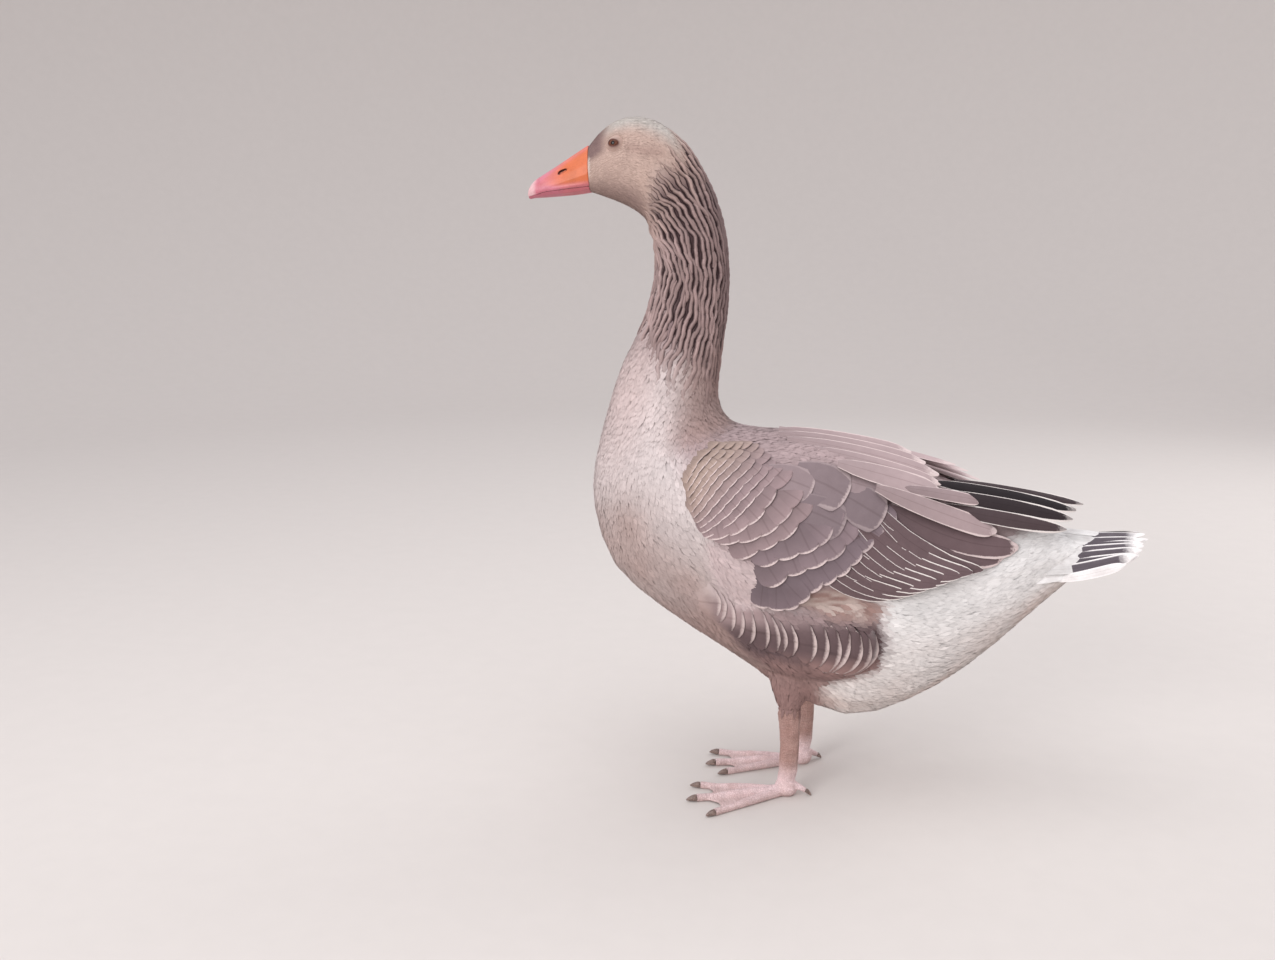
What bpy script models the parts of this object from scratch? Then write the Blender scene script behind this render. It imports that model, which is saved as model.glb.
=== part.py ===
"""Life-size model of a grey domestic goose, standing at ease with its neck upright.

Metres, +Z up. The bird faces -X, its left side is -Y, and the origin lies on the
ground under the middle of its length. Each named part is one closed solid, and
parts that meet keep a hair's breadth of clearance.
"""

import math
from collections import namedtuple

import bmesh
import bpy
from mathutils import Vector
from mathutils.bvhtree import BVHTree

# ---------------------------------------------------------------- driving sizes
CLEARANCE = 0.00035  # between parts that meet
RING_POINTS = 22  # points round a body section
RINGS_PER_SPAN = 2  # body rings from one station to the next
GUIDE_RING_POINTS = 96
GUIDE_RINGS_PER_SPAN = 10

LEG_HALF_SPACING = 0.046
LEFT_LEG_X = -0.040
RIGHT_LEG_X = -0.0245
LEFT_TOE_OUT, LEFT_TOE_SPREAD = math.radians(18), 1.0
RIGHT_TOE_OUT, RIGHT_TOE_SPREAD = math.radians(-13), 0.8
ANKLE_HEIGHT = 0.108
FOOT_ROOT_HEIGHT = 0.019

EYE_RADIUS = 0.0078
EYE_CENTRE = Vector((-0.2405, -0.0192, 0.7215))

TAIL_FEATHERS = 12
SECONDARIES = 9
PRIMARIES = 5
FACETS_PER_FEATHER = 3

# ---------------------------------------------------------------- body stations
# A station is one cross-section of the body: where it meets the bird's upper or
# hind outline, where it meets the front or lower outline (both x, z), how far it
# reaches to each side, and how much wider it is towards the back than the front.
Station = namedtuple("Station", "name back front half_width egg")

BODY = (
    Station("bill_root", (-0.2720, 0.7225), (-0.2690, 0.6700), 0.0180, -0.22),
    Station("brow", (-0.2610, 0.7350), (-0.2600, 0.6670), 0.0215, -0.20),
    Station("eye", (-0.2425, 0.7480), (-0.2430, 0.6610), 0.0270, -0.16),
    Station("crown", (-0.2150, 0.7520), (-0.2270, 0.6540), 0.0310, -0.12),
    Station("nape", (-0.1812, 0.7370), (-0.2110, 0.6430), 0.0325, -0.05),
    Station("throat", (-0.1480, 0.6950), (-0.2030, 0.6250), 0.0335, 0.0),
    Station("neck_top", (-0.1255, 0.6400), (-0.2000, 0.6020), 0.0340, 0.0),
    Station("neck_middle", (-0.1180, 0.5840), (-0.2010, 0.5780), 0.0345, 0.0),
    Station("neck_slope", (-0.1205, 0.5350), (-0.2120, 0.5350), 0.0365, 0.0),
    Station("neck_foot", (-0.1260, 0.4870), (-0.2360, 0.4870), 0.0450, 0.0),
    Station("collar", (-0.1260, 0.4480), (-0.2540, 0.4340), 0.0590, 0.0),
    Station("shoulders", (-0.1150, 0.4250), (-0.2690, 0.3720), 0.0790, 0.04),
    Station("breast", (-0.0960, 0.4180), (-0.2700, 0.3200), 0.0930, 0.06),
    Station("breast_low", (-0.0700, 0.4160), (-0.2460, 0.2520), 0.1010, 0.06),
    Station("keel", (-0.0350, 0.4150), (-0.1880, 0.2020), 0.1045, 0.04),
    Station("thighs", (0.0080, 0.4100), (-0.1150, 0.1560), 0.1060, 0.0),
    Station("belly", (0.0480, 0.3980), (-0.0460, 0.1130), 0.1050, -0.05),
    Station("paunch", (0.0880, 0.3810), (0.0200, 0.0850), 0.1000, -0.10),
    Station("paunch_end", (0.1300, 0.3600), (0.0900, 0.1040), 0.0880, -0.08),
    Station("vent", (0.1750, 0.3400), (0.1560, 0.1470), 0.0700, 0.0),
    Station("tail_coverts", (0.2180, 0.3230), (0.2140, 0.2020), 0.0500, 0.10),
    Station("tail_root", (0.2500, 0.3110), (0.2600, 0.2470), 0.0340, 0.10),
    Station("coverts_end", (0.2720, 0.3050), (0.2880, 0.2680), 0.0240, 0.10),
)

# ---------------------------------------------------------------- bill stations
BILL = (
    Station("base", (-0.2724, 0.7215), (-0.2694, 0.6705), 0.0168, -0.30),
    Station("behind_nostril", (-0.2900, 0.7105), (-0.2880, 0.6680), 0.0158, -0.34),
    Station("nostril", (-0.3080, 0.6990), (-0.3070, 0.6665), 0.0143, -0.30),
    Station("before_nostril", (-0.3220, 0.6905), (-0.3220, 0.6655), 0.0128, -0.22),
    Station("nail", (-0.3325, 0.6835), (-0.3330, 0.6650), 0.0104, -0.12),
    Station("nail_tip", (-0.3385, 0.6760), (-0.3378, 0.6640), 0.0066, 0.0),
    Station("point", (-0.3400, 0.6700), (-0.3396, 0.6650), 0.0028, 0.0),
)
MOUTH_LINE = ((-0.262, 0.6785), (-0.290, 0.6755), (-0.318, 0.6720), (-0.345, 0.6655))
NAIL_LENGTH = 0.013
NOSTRIL = Vector((-0.3005, 0.0, 0.6935))

# ---------------------------------------------------------------- plumage masses
# A rib crosses a folded wing or a flank tract from its upper edge to its lower
# edge (both x, z), and says how far the feathers stand out from the body there.
Rib = namedtuple("Rib", "name top bottom depth")

WING = (
    Rib("bend", (-0.1490, 0.3860), (-0.1510, 0.3640), 0.0040),
    Rib("wrist", (-0.1340, 0.4000), (-0.1400, 0.3250), 0.0100),
    Rib("lesser_coverts", (-0.1020, 0.4060), (-0.1190, 0.2700), 0.0130),
    Rib("forearm", (-0.0600, 0.4070), (-0.0920, 0.2400), 0.0140),
    Rib("median_coverts", (-0.0100, 0.4020), (-0.0550, 0.2370), 0.0140),
    Rib("greater_coverts", (0.0455, 0.3905), (-0.0150, 0.2400), 0.0130),
    Rib("outer_secondaries", (0.0930, 0.3740), (0.0450, 0.2470), 0.0110),
    Rib("inner_secondaries", (0.1400, 0.3545), (0.1080, 0.2740), 0.0090),
    Rib("tertial_tips", (0.1870, 0.3362), (0.1720, 0.2990), 0.0065),
)
COVERT_END = 5.0  # the rib where the coverts give way to the long feathers
TERTIAL_SHARE = 0.46  # of a rib's length, from its upper edge

FLANK = (
    Rib("front", (-0.1620, 0.2500), (-0.1580, 0.2150), 0.0015),
    Rib("fore", (-0.1200, 0.2350), (-0.1200, 0.1790), 0.0060),
    Rib("knee", (-0.0700, 0.2340), (-0.0760, 0.1540), 0.0090),
    Rib("middle", (-0.0200, 0.2350), (-0.0260, 0.1500), 0.0110),
    Rib("rear", (0.0250, 0.2380), (0.0250, 0.1560), 0.0110),
    Rib("hind_edge", (0.0500, 0.2230), (0.0520, 0.1860), 0.0060),
)
SKIN_UNDERCUT = 0.006  # how far a plumage blank reaches into the body before it is cut
EDGE_DEPTH = 0.0020

TAIL_HINGE = Vector((0.1620, 0.0, 0.2975))
# Lower and upper end of the row of primaries, where they leave the wing and at the tips.
PRIMARIES_ROOT = (Vector((0.1745, -0.0620, 0.3010)), Vector((0.1905, -0.0250, 0.3385)))
PRIMARIES_BOW = 0.0085  # how far the row stands out over the rump between its edges
PRIMARIES_TIP = (Vector((0.2430, -0.0390, 0.3120)), Vector((0.2700, -0.0210, 0.3320)))

PALETTE = {
    "body_pale": (0.63, 0.53, 0.47),
    "neck_ruffled": (0.42, 0.35, 0.31),
    "plumage_grey": (0.36, 0.29, 0.26),
    "plumage_dark": (0.20, 0.16, 0.15),
    "plumage_white": (0.82, 0.79, 0.76),
    "bill": (0.88, 0.36, 0.16),
    "bill_nail": (0.86, 0.55, 0.50),
    "leg_skin": (0.60, 0.36, 0.31),
    "claw": (0.30, 0.24, 0.22),
    "eye": (0.10, 0.05, 0.03),
}


# ---------------------------------------------------------------- small helpers
def clear_scene():
    for obj in list(bpy.data.objects):
        bpy.data.objects.remove(obj, do_unlink=True)


def collection(name, hidden=False):
    made = bpy.data.collections.new(name)
    bpy.context.scene.collection.children.link(made)
    made.hide_render = hidden
    return made


def material(slot, roughness=0.7):
    made = bpy.data.materials.get(slot)
    if made is None:
        made = bpy.data.materials.new(slot)
        made.use_nodes = True
        shader = made.node_tree.nodes["Principled BSDF"]
        shader.inputs["Base Color"].default_value = (*PALETTE[slot], 1.0)
        shader.inputs["Roughness"].default_value = roughness
        shader.inputs["Metallic"].default_value = 0.0
    return made


def spline(values, at):
    """The value at a fractional index of a list, on a smooth curve through all of it."""
    i = min(max(int(math.floor(at)), 0), len(values) - 2)
    t = at - i
    p1, p2 = values[i], values[i + 1]
    p0 = values[i - 1] if i > 0 else p1 + (p1 - p2)
    p3 = values[i + 2] if i + 2 < len(values) else p2 + (p2 - p1)
    return 0.5 * (
        2 * p1 + (p2 - p0) * t + (2 * p0 - 5 * p1 + 4 * p2 - p3) * t**2
        + (3 * p1 - p0 - 3 * p2 + p3) * t**3
    )


def upright(point, y=0.0):
    return Vector((point[0], y, point[1]))


def new_object(name, slot, mesh, where):
    obj = bpy.data.objects.new(name, mesh)
    if slot:
        mesh.materials.clear()
        mesh.materials.append(material(slot))
    where.objects.link(obj)
    return obj


def object_from(bm, name, slot, where, smooth_angle=50):
    bmesh.ops.recalc_face_normals(bm, faces=bm.faces)
    mesh = bpy.data.meshes.new(name)
    bm.to_mesh(mesh)
    bm.free()
    mesh.shade_smooth()
    mesh.set_sharp_from_angle(angle=math.radians(smooth_angle))
    return new_object(name, slot, mesh, where)


def loft(name, rings, slot, where):
    """A closed skin through rings of equally many points, with a flat cap at each end.

    The two sides are split into triangles as mirror images of each other.
    """
    bm = bmesh.new()
    rows = [[bm.verts.new(p) for p in ring] for ring in rings]
    count = len(rings[0])
    for near, far in zip(rows, rows[1:]):
        for k in range(count):
            nxt = (k + 1) % count
            if k < count // 2:
                bm.faces.new((near[k], near[nxt], far[nxt]))
                bm.faces.new((near[k], far[nxt], far[k]))
            else:
                bm.faces.new((near[k], near[nxt], far[k]))
                bm.faces.new((near[nxt], far[nxt], far[k]))
    bm.faces.new(rows[0])
    bm.faces.new(rows[-1])
    return object_from(bm, name, slot, where)


def boolean(obj, others, operation):
    """Applies Booleans to a mesh object and drops the crumbs they leave."""
    for other in others:
        modifier = obj.modifiers.new("Boolean", "BOOLEAN")
        modifier.operation = operation
        modifier.object = other
        modifier.solver = "EXACT"
        modifier.use_self = True
    graph = bpy.context.evaluated_depsgraph_get()
    graph.update()
    mesh = bpy.data.meshes.new_from_object(obj.evaluated_get(graph))
    obj.modifiers.clear()
    obj.data = mesh
    bm = bmesh.new()
    bm.from_mesh(mesh)
    bmesh.ops.remove_doubles(bm, verts=bm.verts, dist=0.00001)
    keep_largest(bm)
    bmesh.ops.triangulate(bm, faces=bm.faces)
    bm.to_mesh(mesh)
    bm.free()
    return obj


def keep_largest(bm):
    """Deletes all but the largest of a mesh's separate pieces."""
    left, pieces = set(bm.verts), []
    while left:
        piece, edge = set(), [left.pop()]
        while edge:
            vert = edge.pop()
            piece.add(vert)
            for link in vert.link_edges:
                other = link.other_vert(vert)
                if other in left:
                    left.discard(other)
                    edge.append(other)
        pieces.append(piece)
    pieces.sort(key=len)
    for piece in pieces[:-1]:
        bmesh.ops.delete(bm, geom=list(piece), context="VERTS")


def mirrored(obj, name, where):
    """The same solid on the bird's other side."""
    bm = bmesh.new()
    bm.from_mesh(obj.data)
    for v in bm.verts:
        v.co.y = -v.co.y
    bmesh.ops.reverse_faces(bm, faces=bm.faces)
    slot = obj.data.materials[0].name if obj.data.materials else None
    return object_from(bm, name, slot, where)


# ---------------------------------------------------------------- head to rump
def section_ring(stations, at, points, out=0.0):
    """The ring of a body section at a fractional station index."""
    back = spline([upright(s.back) for s in stations], at)
    front = spline([upright(s.front) for s in stations], at)
    half_width = spline([s.half_width for s in stations], at) + out
    egg = spline([s.egg for s in stations], at)
    centre = (back + front) / 2
    along = (back - front).normalized()
    half_height = (back - front).length / 2 + out
    ring = []
    for k in range(points):
        angle = 2 * math.pi * (k + 0.5) / points
        level = math.cos(angle)
        side = math.sin(angle) * half_width * (1 + egg * level)
        ring.append(centre + along * half_height * level + Vector((0, side, 0)))
    return ring


def ring_normal(ring):
    """The direction in which the body runs on through a ring, towards the tail."""
    quarter = len(ring) // 4
    normal = (ring[0] - ring[2 * quarter]).cross(ring[quarter] - ring[3 * quarter])
    return normal.normalized()


def body_length(name, first, last, slot, where, points=RING_POINTS, out=0.0, stations=BODY):
    """One length of the body, from station to station, set back a hair at a cut."""
    steps = max(2, round((last - first) * RINGS_PER_SPAN))
    rings = [
        section_ring(stations, first + (last - first) * k / steps, points, out)
        for k in range(steps + 1)
    ]
    for ring, inner in ((rings[0], rings[1]), (rings[-1], rings[-2])):
        inward = sum(inner, Vector()) / points - sum(ring, Vector()) / points
        normal = ring_normal(ring)
        if normal.dot(inward) < 0:
            normal = -normal
        for k in range(points):
            ring[k] = ring[k] + normal * (CLEARANCE / 2 - out)
    return loft(name, rings, slot, where)


def station_index(name, stations=BODY):
    return [s.name for s in stations].index(name)


def guide_surface():
    """A fine copy of the body from the neck to the tail, to lay the plumage on."""
    first, last = station_index("neck_foot"), len(BODY) - 1
    steps = (last - first) * GUIDE_RINGS_PER_SPAN
    verts, faces = [], []
    for row in range(steps + 1):
        verts += section_ring(BODY, first + row / GUIDE_RINGS_PER_SPAN, GUIDE_RING_POINTS)
    for row in range(steps):
        for k in range(GUIDE_RING_POINTS):
            a = row * GUIDE_RING_POINTS + k
            b = row * GUIDE_RING_POINTS + (k + 1) % GUIDE_RING_POINTS
            faces.append((a, b, b + GUIDE_RING_POINTS, a + GUIDE_RING_POINTS))
    return BVHTree.FromPolygons(verts, faces)


def body_surface(guide, x, z):
    """Where a line from the bird's left meets the body, and the way out from there."""
    place, normal, _, _ = guide.ray_cast(Vector((x, -1.0, z)), Vector((0, 1, 0)))
    if place is None:
        place, normal, _, _ = guide.find_nearest(Vector((x, -0.02, z)))
    if normal.y > 0:
        normal = -normal
    return place, normal


# ---------------------------------------------------------------- wings and flanks
def rib_point(ribs, u, v):
    top = spline([Vector(r.top) for r in ribs], u)
    bottom = spline([Vector(r.bottom) for r in ribs], u)
    return top.lerp(bottom, v)


def crown(v):
    """A rounded rise across a tract: none at its edges, full in between."""
    return math.sqrt(max(0.0, 1 - (2 * v - 1) ** 2))


def plumage_shell(tract, guide, where):
    """A feather tract on the body: an outer sheet over an inner one, closed at the rim."""
    (u_low, u_high), (v_low, v_high) = tract.u_range, tract.v_range
    outer, inner = [], []
    columns, rows = tract.columns, tract.rows
    for i in range(columns + 1):
        u = u_low + (u_high - u_low) * i / columns
        depth = spline([r.depth for r in tract.ribs], u)
        for j in range(rows + 1):
            v = v_low + (v_high - v_low) * j / rows
            x, z = rib_point(tract.ribs, u, v)
            place, normal = body_surface(guide, x, z)
            rise = EDGE_DEPTH + (depth - EDGE_DEPTH) * crown(v) ** 0.8
            outer.append(place + normal * (rise + tract.relief(u)))
            inner.append(place - normal * SKIN_UNDERCUT)
    bm = bmesh.new()
    top = [bm.verts.new(p) for p in outer]
    low = [bm.verts.new(p) for p in inner]
    stride = rows + 1
    for i in range(columns):
        for j in range(rows):
            a, b = i * stride + j, (i + 1) * stride + j
            bm.faces.new((top[a], top[b], top[b + 1], top[a + 1]))
            bm.faces.new((low[a], low[a + 1], low[b + 1], low[b]))
    rim = [i * stride for i in range(columns + 1)]
    rim += [columns * stride + j for j in range(1, stride)]
    rim += [i * stride + rows for i in range(columns - 1, -1, -1)]
    rim += [j for j in range(rows - 1, 0, -1)]
    for a, b in zip(rim, rim[1:] + rim[:1]):
        bm.faces.new((top[a], low[a], low[b], top[b]))
    return object_from(bm, tract.name, tract.slot, where)


def no_relief(u):
    return 0.0


def raised(u):
    """The tertials lie over the feathers round them."""
    return 0.0016


def shingled(u):
    """The secondaries lie lower, each one stepping up to lap over the next."""
    share = (u - COVERT_END) / (len(WING) - 1 - COVERT_END)
    return -0.0010 + 0.0012 * ((share * SECONDARIES) % 1.0)


Tract = namedtuple("Tract", "name ribs u_range v_range columns rows relief slot")
TRACT_GAP = 0.010  # between neighbouring tracts, as a share of a rib spacing
WING_REAR = len(WING) - 1.0
COVERTS = Tract("wing_left_coverts", WING, (0.0, COVERT_END - TRACT_GAP), (0.0, 1.0),
                11, 6, no_relief, "plumage_grey")
TERTIALS = Tract("wing_left_tertials", WING, (COVERT_END + TRACT_GAP, WING_REAR),
                 (0.0, TERTIAL_SHARE - 0.004), 8, 3, raised, "plumage_grey")
SECONDARY_ROW = Tract("wing_left_secondaries", WING, (COVERT_END + TRACT_GAP, WING_REAR),
                      (TERTIAL_SHARE + 0.004, 1.0), SECONDARIES * 2, 3, shingled,
                      "plumage_dark")
FLANK_TRACT = Tract("flank_left", FLANK, (0.0, len(FLANK) - 1.0), (0.0, 1.0),
                    10, 5, no_relief, "plumage_dark")


# ---------------------------------------------------------------- long feathers
def feather_fan(fan, slot, where):
    """A row of overlapping long feathers as one solid. Each laps the next like a
    shingle and ends in a rounded tip."""
    columns = fan.count * FACETS_PER_FEATHER
    top_lines, low_lines = [], []
    for i in range(columns + 1):
        s = i / columns
        phase = (i % FACETS_PER_FEATHER) / FACETS_PER_FEATHER if i < columns else 1.0
        (root_place, root_up), (tip_place, tip_up) = fan.root(s), fan.tip(s)
        reach = 1 - fan.rounding * (2 * phase - 1) ** 2
        tops, lows = [], []
        for j in range(fan.rows + 1):
            t = j / fan.rows * reach
            place = root_place.lerp(tip_place, t)
            up = root_up.lerp(tip_up, t).normalized()
            half = fan.thickness * (1 - 0.45 * t) / 2
            tops.append(place + up * (half + fan.step * phase * t))
            lows.append(place - up * half)
        top_lines.append(tops)
        low_lines.append(lows)
    bm = bmesh.new()
    top = [[bm.verts.new(p) for p in line] for line in top_lines]
    low = [[bm.verts.new(p) for p in line] for line in low_lines]
    for i in range(columns):
        for j in range(fan.rows):
            bm.faces.new((top[i][j], top[i + 1][j], top[i + 1][j + 1], top[i][j + 1]))
            bm.faces.new((low[i][j], low[i][j + 1], low[i + 1][j + 1], low[i + 1][j]))
        for j in (0, fan.rows):
            bm.faces.new((top[i][j], low[i][j], low[i + 1][j], top[i + 1][j]))
    for i in (0, columns):
        for j in range(fan.rows):
            bm.faces.new((top[i][j], top[i][j + 1], low[i][j + 1], low[i][j]))
    return object_from(bm, fan.name, slot, where, smooth_angle=25)


def tail_place(s, radius, half_angle, height, fall):
    """A point of the tail's shallow roof, s of the way across it, and the way up there."""
    across = 2 * s - 1
    angle = across * half_angle
    place = TAIL_HINGE + Vector((
        radius * math.cos(angle), radius * math.sin(angle), height - fall * abs(across) ** 1.5,
    ))
    return place, Vector((0, 0.9 * across, 1)).normalized()


def tail_root(s):
    return tail_place(s, 0.084, math.radians(23), 0.001, 0.022)


def tail_tip(s):
    return tail_place(s, 0.178 - 0.010 * (2 * s - 1) ** 2, math.radians(18), 0.008, 0.034)


def primaries_root(s):
    up = Vector((0.10, -0.90, 0.42)).normalized()
    bow = PRIMARIES_BOW * 4 * s * (1 - s)
    return PRIMARIES_ROOT[0].lerp(PRIMARIES_ROOT[1], s) + up * bow, up


def primaries_tip(s):
    up = Vector((0.05, -0.80, 0.60)).normalized()
    return PRIMARIES_TIP[0].lerp(PRIMARIES_TIP[1], s**0.8), up


Fan = namedtuple("Fan", "name count root tip thickness step rounding rows")
TAIL_FAN = Fan("tail", TAIL_FEATHERS, tail_root, tail_tip, 0.0042, 0.0012, 0.060, 3)
PRIMARIES_FAN = Fan("wing_left_primaries", PRIMARIES, primaries_root, primaries_tip,
                    0.0060, 0.0014, 0.12, 3)


# ---------------------------------------------------------------- head
def make_bill(where, helpers):
    """The bill as one body, parted along the mouth line and behind the nail."""
    steps = (len(BILL) - 1) * 2

    def whole(name, slot):
        rings = [section_ring(BILL, k / 2, 16) for k in range(steps + 1)]
        rings[0] = [p - Vector((CLEARANCE, 0, 0)) for p in rings[0]]
        return loft(name, rings, slot, where)

    def slab(name, upwards, shift):
        """Everything above or below the mouth line."""
        far = 0.75 if upwards else 0.60
        line = [Vector(p) + Vector((0, shift)) for p in MOUTH_LINE]
        outline = line + [Vector((line[-1].x - 0.02, far)), Vector((line[0].x + 0.02, far))]
        bm = bmesh.new()
        ends = [[bm.verts.new((p.x, y, p.y)) for p in outline] for y in (-0.05, 0.05)]
        for k in range(len(outline)):
            nxt = (k + 1) % len(outline)
            bm.faces.new((ends[0][k], ends[0][nxt], ends[1][nxt], ends[1][k]))
        bm.faces.new(ends[0])
        bm.faces.new(ends[1])
        made = object_from(bm, name, None, helpers)
        return made

    def block(name, low_x, high_x):
        bm = bmesh.new()
        bmesh.ops.create_cube(bm, size=1.0)
        for v in bm.verts:
            v.co = Vector((
                low_x if v.co.x < 0 else high_x,
                v.co.y * 0.1,
                0.69 + v.co.z * 0.12,
            ))
        made = object_from(bm, name, None, helpers)
        return made

    half_cut = CLEARANCE / 2 + 0.0001
    above = slab("above_mouth", True, half_cut)
    below = slab("below_mouth", False, -half_cut)
    nail_x = BILL[-1].back[0] + NAIL_LENGTH
    behind = block("behind_nail", nail_x + half_cut, 0.0)
    before = block("before_nail", -0.5, nail_x - half_cut)
    nostrils = []
    for side in (-1, 1):
        bm = bmesh.new()
        bmesh.ops.create_uvsphere(bm, u_segments=10, v_segments=6, radius=1.0)
        for v in bm.verts:
            v.co = NOSTRIL + Vector((
                v.co.x * 0.0048 + v.co.z * 0.0010,
                side * 0.0115 + v.co.y * 0.0035,
                v.co.z * 0.0020 - v.co.x * -0.0015,
            ))
        nostrils.append(object_from(bm, "nostril_cutter", None, helpers))
    upper = boolean(whole("bill_upper", "bill"), [above, behind], "INTERSECT")
    boolean(upper, nostrils, "DIFFERENCE")
    boolean(whole("bill_lower", "bill"), [below], "INTERSECT")
    boolean(whole("bill_nail", "bill_nail"), [above, before], "INTERSECT")


def make_eyes(head, where, helpers):
    """Two eyeballs in round sockets."""
    for side, name in ((1, "eye_left"), (-1, "eye_right")):
        centre = Vector((EYE_CENTRE.x, EYE_CENTRE.y * side, EYE_CENTRE.z))
        for radius, label, where_to in (
            (EYE_RADIUS, name, where),
            (EYE_RADIUS + CLEARANCE, name + "_socket", helpers),
        ):
            bm = bmesh.new()
            bmesh.ops.create_uvsphere(bm, u_segments=12, v_segments=8, radius=radius)
            bmesh.ops.translate(bm, verts=bm.verts, vec=centre)
            made = object_from(bm, label, "eye" if where_to is where else None, where_to)
        boolean(head, [made], "DIFFERENCE")


# ---------------------------------------------------------------- legs
def oval_ring(centre, half_x, half_y, points, tilt=0.0):
    ring = []
    for k in range(points):
        angle = 2 * math.pi * k / points
        x, y = math.cos(angle) * half_x, math.sin(angle) * half_y
        ring.append(centre + Vector((x, y, -x * math.tan(tilt))))
    return ring


def make_thigh(side, leg_x, body_cutter, where):
    """The feathered lower thigh, from inside the flank to just above the ankle."""
    y = side * LEG_HALF_SPACING
    levels = (  # height, x shift, half length, half width
        (ANKLE_HEIGHT + 0.0006, 0.000, 0.0150, 0.0120),
        (0.120, 0.001, 0.0200, 0.0160),
        (0.136, 0.003, 0.0270, 0.0200),
        (0.158, 0.006, 0.0340, 0.0210),
        (0.185, 0.008, 0.0360, 0.0200),
    )
    rings = []
    for z, shift, half_x, half_y in levels:
        rings.append(oval_ring(Vector((leg_x + shift, y, z)), half_x, half_y, 14))
    name = "thigh_left" if side < 0 else "thigh_right"
    return boolean(loft(name, rings, "plumage_grey", where), [body_cutter], "DIFFERENCE")


def make_tarsus(side, leg_x, where):
    """The bare shank, thick at the ankle joint and above the toes."""
    y = side * LEG_HALF_SPACING
    levels = (  # height, x shift, half length, half width
        (FOOT_ROOT_HEIGHT + CLEARANCE, -0.0020, 0.0104, 0.0085),
        (0.030, 0.0, 0.0106, 0.0078),
        (0.060, 0.0010, 0.0108, 0.0068),
        (0.082, 0.0005, 0.0118, 0.0078),
        (0.098, 0.0, 0.0134, 0.0098),
        (ANKLE_HEIGHT, 0.0, 0.0130, 0.0102),
    )
    rings = [
        oval_ring(Vector((leg_x + shift, y, z)), half_x, half_y, 10)
        for z, shift, half_x, half_y in levels
    ]
    name = "tarsus_left" if side < 0 else "tarsus_right"
    return loft(name, rings, "leg_skin", where)


Toe = namedtuple("Toe", "name turn length root_radius")
TOES = (
    Toe("inner", -20, 0.096, 0.0062),
    Toe("middle", 0, 0.102, 0.0068),
    Toe("outer", 23, 0.098, 0.0062),
)
TOE_RINGS = 6
CLAW_LENGTH = 0.0115
TOE_SINK = 0.82  # a toe's axis height as a share of its radius, so its sole is flat
WEB_HALF_THICKNESS = 0.0011


def toe_radius(toe, t):
    """A toe swells at its joints and thins towards the claw."""
    return toe.root_radius * (1 - 0.38 * t) + 0.0006 * math.cos(t * 3 * 2 * math.pi)


def heading(turn):
    return Vector((-math.cos(turn), math.sin(turn), 0))


def tube(name, points, radii, slot, where, sides=8):
    """A round-sectioned limb through points, each with its own radius."""
    rings = []
    for k, (point, radius) in enumerate(zip(points, radii)):
        before, after = points[max(k - 1, 0)], points[min(k + 1, len(points) - 1)]
        along = (after - before).normalized()
        across = along.cross(Vector((0, 0, 1))).normalized()
        up = across.cross(along)
        rings.append([
            point + across * math.cos(2 * math.pi * (s + 0.5) / sides) * radius
            + up * math.sin(2 * math.pi * (s + 0.5) / sides) * radius
            for s in range(sides)
        ])
    return loft(name, rings, slot, where)


def make_foot(side, leg_x, toe_out, spread, where, helpers):
    """Three webbed toes, a raised hind toe, and a claw on each, as separate solids."""
    label = "left" if side < 0 else "right"
    root = Vector((leg_x - 0.004, side * LEG_HALF_SPACING, 0))
    parts, tips = [], {}
    for toe in TOES:
        # Positive turns lead away from the bird's midline.
        ahead = heading(side * (math.radians(toe.turn) * spread + toe_out))
        points, radii = [], []
        for k in range(TOE_RINGS):
            t = k / (TOE_RINGS - 1)
            radius = toe_radius(toe, t)
            points.append(root + ahead * toe.length * t + Vector((0, 0, radius * TOE_SINK)))
            radii.append(radius)
        parts.append(tube("toe_" + toe.name, points, radii, "leg_skin", helpers))
        tips[toe.name] = (points[-1], (points[-1] - points[-2]).normalized(), radii[-1])
    hub = bmesh.new()
    bmesh.ops.create_uvsphere(hub, u_segments=10, v_segments=6, radius=1.0)
    for v in hub.verts:
        v.co = root + Vector((v.co.x * 0.0135 + 0.002, v.co.y * 0.0115, v.co.z * 0.0125 + 0.0095))
    pad = object_from(hub, "foot_" + label, "leg_skin", where)
    hind_turn = side * (math.radians(-18) + toe_out) + math.pi
    hind = heading(hind_turn)
    hind_points = [
        root + Vector((0, 0, 0.013)),
        root + hind * 0.014 + Vector((0, 0, 0.0115)),
        root + hind * 0.024 + Vector((0, 0, 0.0065)),
    ]
    parts.append(tube("toe_hind", hind_points, (0.0050, 0.0042, 0.0030), "leg_skin", helpers))
    tips["hind"] = (hind_points[-1], (hind_points[-1] - hind_points[-2]).normalized(), 0.0030)
    parts.append(make_web(root, tips, side, toe_out, helpers))
    boolean(pad, parts, "UNION")
    trim = bmesh.new()
    bmesh.ops.create_cube(trim, size=0.4)
    bmesh.ops.translate(trim, verts=trim.verts, vec=root + Vector((0, 0, -0.2)))
    floor = object_from(trim, "floor_cutter", None, helpers)
    lid = bmesh.new()
    bmesh.ops.create_cube(lid, size=0.1)
    bmesh.ops.translate(lid, verts=lid.verts, vec=root + Vector((0, 0, 0.05 + FOOT_ROOT_HEIGHT)))
    top = object_from(lid, "top_cutter", None, helpers)
    boolean(pad, [floor, top], "DIFFERENCE")
    for name, (place, ahead, radius) in tips.items():
        make_claw(f"claw_{label}_{name}", place, ahead, radius, name == "hind", where)
    return pad


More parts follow.
